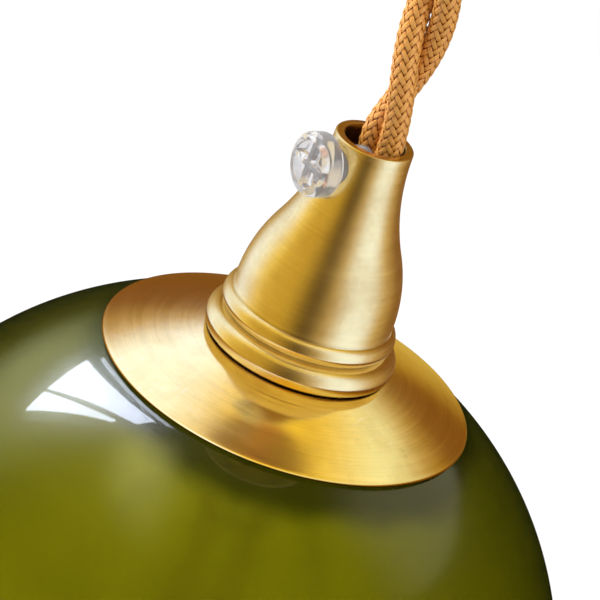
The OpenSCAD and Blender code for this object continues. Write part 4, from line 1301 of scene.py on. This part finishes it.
def card(name, corners, strength, tone=(1, 1, 1), soft=(), seen_by=glass_pieces):
    """A glowing card between four directions; soft fades its left, right, lower and upper side."""
    finish, tree, out = stage_material(name)
    uv = put(tree, "SeparateXYZ", {0: put(tree, "TexCoord").outputs["UV"]}).outputs
    level = strength
    sides = (uv[0], calc(tree, "SUBTRACT", 1.0, uv[0]), uv[1], calc(tree, "SUBTRACT", 1.0, uv[1]))
    for side, width in zip(sides, soft):
        level = calc(tree, "MULTIPLY", eased(tree, side, 0.0, width), level)
    glow(tree, out, (*tone, 1), level)
    bm = bmesh.new()
    bm.loops.layers.uv.new("UVMap")
    bmesh.ops.create_grid(bm, x_segments=12, y_segments=8, size=1, calc_uvs=True)
    low_left, low_right, top_right, top_left = (Vector((*corner, 0)) for corner in corners)
    for v in bm.verts:
        u, w = (v.co.x + 1) / 2, (v.co.y + 1) / 2
        place = low_left.lerp(low_right, u).lerp(top_left.lerp(top_right, u), w)
        v.co = LAMP_MIDDLE + STAGE_AWAY * direction(place.x, place.y)
    return stage_mesh(name, bm, finish, seen_by)


print("cards can be made")

# %% [markdown]
# The outermost shell is the only one that hides what lies behind it. It is
# nearly black and a little green, so a mirror that finds no card goes dark.
# %% The dark room
finish, tree, out = stage_material("dark_room")
fill(tree, out.inputs["Surface"], shining(tree, (0.8, 1, 0.15, 1), 0.012))
stage_mesh("dark_room", dome(4.0), finish)
floor.visible_glossy = False
print("dark room ready")

# %% [markdown]
# The brass sees a warm room with a tall cool window on the left and another on
# the right, and a dark gap in front. Six tones are enough. Each stop names an
# azimuth round the lamp and the tone of the room in that direction.
# %% Tones of the room
PANE = (1.2, 1.5, 2.6)
SKY = (1.5, 2.0, 6.0)
GOLD = (1.2, 1.0, 0.2)
AMBER = (0.7, 0.5, 0.1)
UMBER = (0.25, 0.1, 0.02)
GAP = (0.05, 0.02, 0.01)
ROOM = [(-165, UMBER), (-140, AMBER), (-125, PANE), (-105, PANE), (-85, GOLD), (-65, AMBER), (-30, AMBER),
        (-5, GAP), (8, GAP), (30, AMBER), (52, PANE), (80, PANE), (100, AMBER), (135, UMBER)]
STRONGEST = 8.0          # a colour ramp holds values up to 1, so the tones are divided by this


def round_the_room(tree, around, stops):
    ramp = put(tree, "ValToRGB", {0: around})
    elements = ramp.color_ramp.elements
    while len(elements) > 1:
        elements.remove(elements[0])
    for number, (azimuth, tone) in enumerate(stops):
        stop = elements[0] if number == 0 else elements.new(1.0)
        stop.position = (azimuth + 180) / 360
        stop.color = (*(level / STRONGEST for level in tone), 1)
    return put(tree, "VectorMath", {0: ramp.outputs[0], 3: STRONGEST}, operation="SCALE").outputs[0]


def by_height(tree, height, low, high):
    """0 below the lower elevation, 1 above the higher one."""
    return eased(tree, height, math.sin(math.radians(low)), math.sin(math.radians(high)))


def from_lamp(tree):
    """The way from the middle of the lamp to a point of a shell."""
    return put(tree, "VectorMath", {0: own_place(tree), 1: LAMP_MIDDLE}, operation="SUBTRACT").outputs[0]


print("brass room:", len(ROOM), "stops")

# %% [markdown]
# Overhead the room turns toward gold, and below it is dimmer. Where one piece
# of brass mirrors another, the second one sees a plain cool white, because
# two warm mirrors would take almost all the blue out of the light.
# %% The room that the brass sees
finish, tree, out = stage_material("brass_room")
way = put(tree, "VectorMath", {0: from_lamp(tree)}, operation="NORMALIZE").outputs[0]
spot = put(tree, "SeparateXYZ", {0: way}).outputs
around = calc(tree, "ARCTAN2", spot[0], calc(tree, "MULTIPLY", spot[1], -1.0))
around = spread(tree, around, -math.pi, math.pi)
ceiling_share = calc(tree, "MULTIPLY", by_height(tree, spot[2], 45, 65), 0.5)
seen = tint(tree, ceiling_share, round_the_room(tree, around, ROOM), (*GOLD, 1))
under = spread(tree, by_height(tree, spot[2], -64, -40), 0, 1, 0.45, 1.0)
again = calc(tree, "GREATER_THAN", put(tree, "LightPath").outputs["Ray Depth"], 1.5)
seen = tint(tree, again, seen, (1.0, 1.05, 1.2, 1))
glow(tree, out, seen, under)
stage_mesh("brass_room", dome(3.5), finish, brass_pieces)
print("brass room ready")

# %% [markdown]
# The cover plate is a shallow cone with turning marks in circles. Such a
# plate breaks a reflection up into sectors, so its room is made of wedges
# that fan out from the point which a level mirror would show, on the far side
# of the lamp. The stops are turns about that point, with up as zero.
# %% The fan that the plate sees
FAN = [(-165, UMBER), (-110, UMBER), (-80, AMBER), (-58, SKY), (-32, SKY), (-12, GOLD), (18, GOLD),
       (38, PANE), (46, PANE), (60, AMBER), (80, UMBER), (130, UMBER), (160, AMBER)]
FAN_MIDDLE = direction(180, 26)
fan_side = FAN_MIDDLE.cross(Vector((0, 0, 1))).normalized()
fan_up = fan_side.cross(FAN_MIDDLE)


def reach(tree, way, axis):
    """How far a way goes along an axis."""
    return put(tree, "VectorMath", {0: way, 1: tuple(axis)}, operation="DOT_PRODUCT").outputs["Value"]


finish, tree, out = stage_material("plate_room")
way = from_lamp(tree)
turn_round = calc(tree, "ARCTAN2", reach(tree, way, fan_side), reach(tree, way, fan_up))
turn_round = spread(tree, turn_round, -math.pi, math.pi)
glow(tree, out, round_the_room(tree, turn_round, FAN), 1.0)
stage_mesh("plate_room", dome(3.4), finish, plate_pieces)
print("plate room:", len(FAN), "wedges")

# %% [markdown]
# Clear plastic, porcelain and plain steel stand in a white room with two
# bright cards, which give the thumb screw its glints. The braid's yarns are
# glossy, so the cloth has two cards of its own to bring out the weave.
# %% The rooms that plastic and cloth see
EVEN = (0.1, 0.1, 0.1, 0.1)
BROAD = (0.3, 0.3, 0.2, 0.3)
WARM_WHITE = (1, 0.96, 0.95)
finish, tree, out = stage_material("white_room")
glow(tree, out, (0.96, 0.97, 1.0, 1), 0.6)
stage_mesh("white_room", dome(3.0), finish, plastic_pieces)
card("plastic_window", box_of((-160, -100), (10, 60)), 5.0, (1, 1, 1), EVEN, plastic_pieces)
card("plastic_front", box_of((30, 100), (-40, 40)), 3.5, (1, 1, 1), EVEN, plastic_pieces)
card("cloth_window", box_of((-150, -30), (-30, 60)), 4.5, WARM_WHITE, BROAD, cloth_pieces)
card("cloth_front", box_of((30, 110), (-40, 50)), 2.5, WARM_WHITE, BROAD, cloth_pieces)
print("rooms for plastic and cloth ready")

# %% [markdown]
# The globe mirrors a window of three panes, the haze of light round it, a
# grey wall on the right and a strip of sky over the crown.
# %% The window in the glass
PANE_TONE = (0.72, 0.79, 1.0)
card("window_main", [(-135.3, 31), (-122, 28.3), (-108.5, 58), (-117.6, 62)], 14.0, PANE_TONE)
card("window_low", [(-121.1, 28), (-114.7, 26.3), (-106.2, 50.7), (-107.5, 52.5)], 14.0, PANE_TONE)
card("window_far", [(-139.5, 34), (-137.8, 34), (-118.9, 65), (-121, 67)], 7.0, PANE_TONE)
card("window_haze", box_of((-160, -85), (0, 66)), 0.95, (0.9, 1.0, 0.55), (0.35, 0.45, 0.25, 0.4))
card("grey_panel", [(75, 38), (150, 19), (150, 72), (75, 72)], 0.56, (1, 0.95, 0.6), (0.5, 0.04, 0.12, 0.4))
card("sky_haze", [(-120, 50), (-15, 44), (-35, 72), (-112, 76)], 1.7, (1, 1, 0.42), (0.3, 0.6, 0.5, 0.4))
print("window ready")

# %% [markdown]
# ## What shows through the globe
# The glass is seen against the pale floor, but a real room is never even. A
# card behind the globe, seen only through glass, holds painted shade and glow:
# soft darker and brighter clouds, so that the colour in the glass swells and
# fades.
# %% Clouds behind the glass
LAMP_AWAY = 0.8325       # metres from the camera to the lamp
VIEW_SCALE = 1.5         # the card is this much further away
CARD_HALF = 150          # half its side, in mm at the lamp
CLOUDS = [               # place across and up from the middle, half sizes (mm at the lamp), turn, darkness
    (64, -42, 34, 66, 14, 0.98), (-28, -60, 32, 14, 0, 0.6), (30, -62, 18, 10, 0, 0.4),
    (6, -45, 15, 7, -30, -0.8), (-23, -33, 15, 9, -20, -0.9)]
finish, tree, out = stage_material("cloudy_card")
spot = put(tree, "SeparateXYZ", {0: put(tree, "TexCoord").outputs["UV"]}).outputs
across = spread(tree, spot[0], 0, 1, -CARD_HALF, CARD_HALF)
upward = spread(tree, spot[1], 0, 1, -CARD_HALF, CARD_HALF)
waver = noise(tree, put(tree, "CombineXYZ", {0: across, 1: upward}).outputs[0], 0.045, 3)
waver = spread(tree, waver, 0.3, 0.7, -4, 4)
light = None
for centre_x, centre_y, half_x, half_y, turned_by, dark in CLOUDS:
    c, s = math.cos(math.radians(turned_by)), math.sin(math.radians(turned_by))
    dx = calc(tree, "ADD", calc(tree, "SUBTRACT", across, float(centre_x)), waver)
    dy = calc(tree, "ADD", calc(tree, "SUBTRACT", upward, float(centre_y)), waver)
    along = calc(tree, "ADD", calc(tree, "MULTIPLY", dx, c), calc(tree, "MULTIPLY", dy, s))
    aside = calc(tree, "SUBTRACT", calc(tree, "MULTIPLY", dy, c), calc(tree, "MULTIPLY", dx, s))
    along = calc(tree, "DIVIDE", along, float(half_x))
    aside = calc(tree, "DIVIDE", aside, float(half_y))
    # Each cloud is painted shade; one with a darkness below zero is a painted glow.
    mask = eased(tree, distance_of(tree, along, aside), 0.4, 1.5, 1.0 - dark, 1.0)
    light = mask if light is None else calc(tree, "MULTIPLY", light, mask)
fill(tree, out.inputs["Surface"], shining(tree, (1, 1, 1, 1), light))
print("clouds:", len(CLOUDS))

# %% [markdown]
# The card stands square to the camera, behind the lamp, and is larger by as
# much as it is further away.
# %% The cloudy card
card_bm = bmesh.new()
card_bm.loops.layers.uv.new("UVMap")
bmesh.ops.create_grid(card_bm, x_segments=1, y_segments=1, size=CARD_HALF * MM * VIEW_SCALE,
                      calc_uvs=True)
card_place = Matrix.Translation(camera.location - back * (LAMP_AWAY * VIEW_SCALE)) @ turn
bmesh.ops.transform(card_bm, matrix=card_place, verts=card_bm.verts)
stage_mesh("cloudy_card", card_bm, finish, glossy=False, transmission=True)
print("cloudy card ready")

# %% [markdown]
# ## Lights
# Two large soft lamps and the world's even light bring the object to a plain
# level. They don't show in the metal, where the cards do that work.
# %% Soft lamps
def soft_lamp(name, azimuth, elevation, size, watts, tone=(1, 1, 1)):
    data = bpy.data.lights.new(name, "AREA")
    data.shape, data.size, data.energy, data.color = "DISK", size, watts, tone
    lamp = bpy.data.objects.new(name, data)
    bpy.context.collection.objects.link(lamp)
    towards = direction(azimuth, elevation)
    aim = towards.to_track_quat("Z", "Y").to_matrix().to_4x4()
    lamp.matrix_world = Matrix.Translation(LAMP_MIDDLE + towards * STAGE_AWAY) @ aim
    lamp.visible_glossy = lamp.visible_camera = lamp.visible_transmission = False


soft_lamp("window_light", -100, 38, 1.0, 46, (1.0, 0.99, 0.97))
soft_lamp("front_light", 55, 30, 1.4, 16)
soft_lamp("top_light", -20, 70, 1.4, 10)
print("lamps ready")
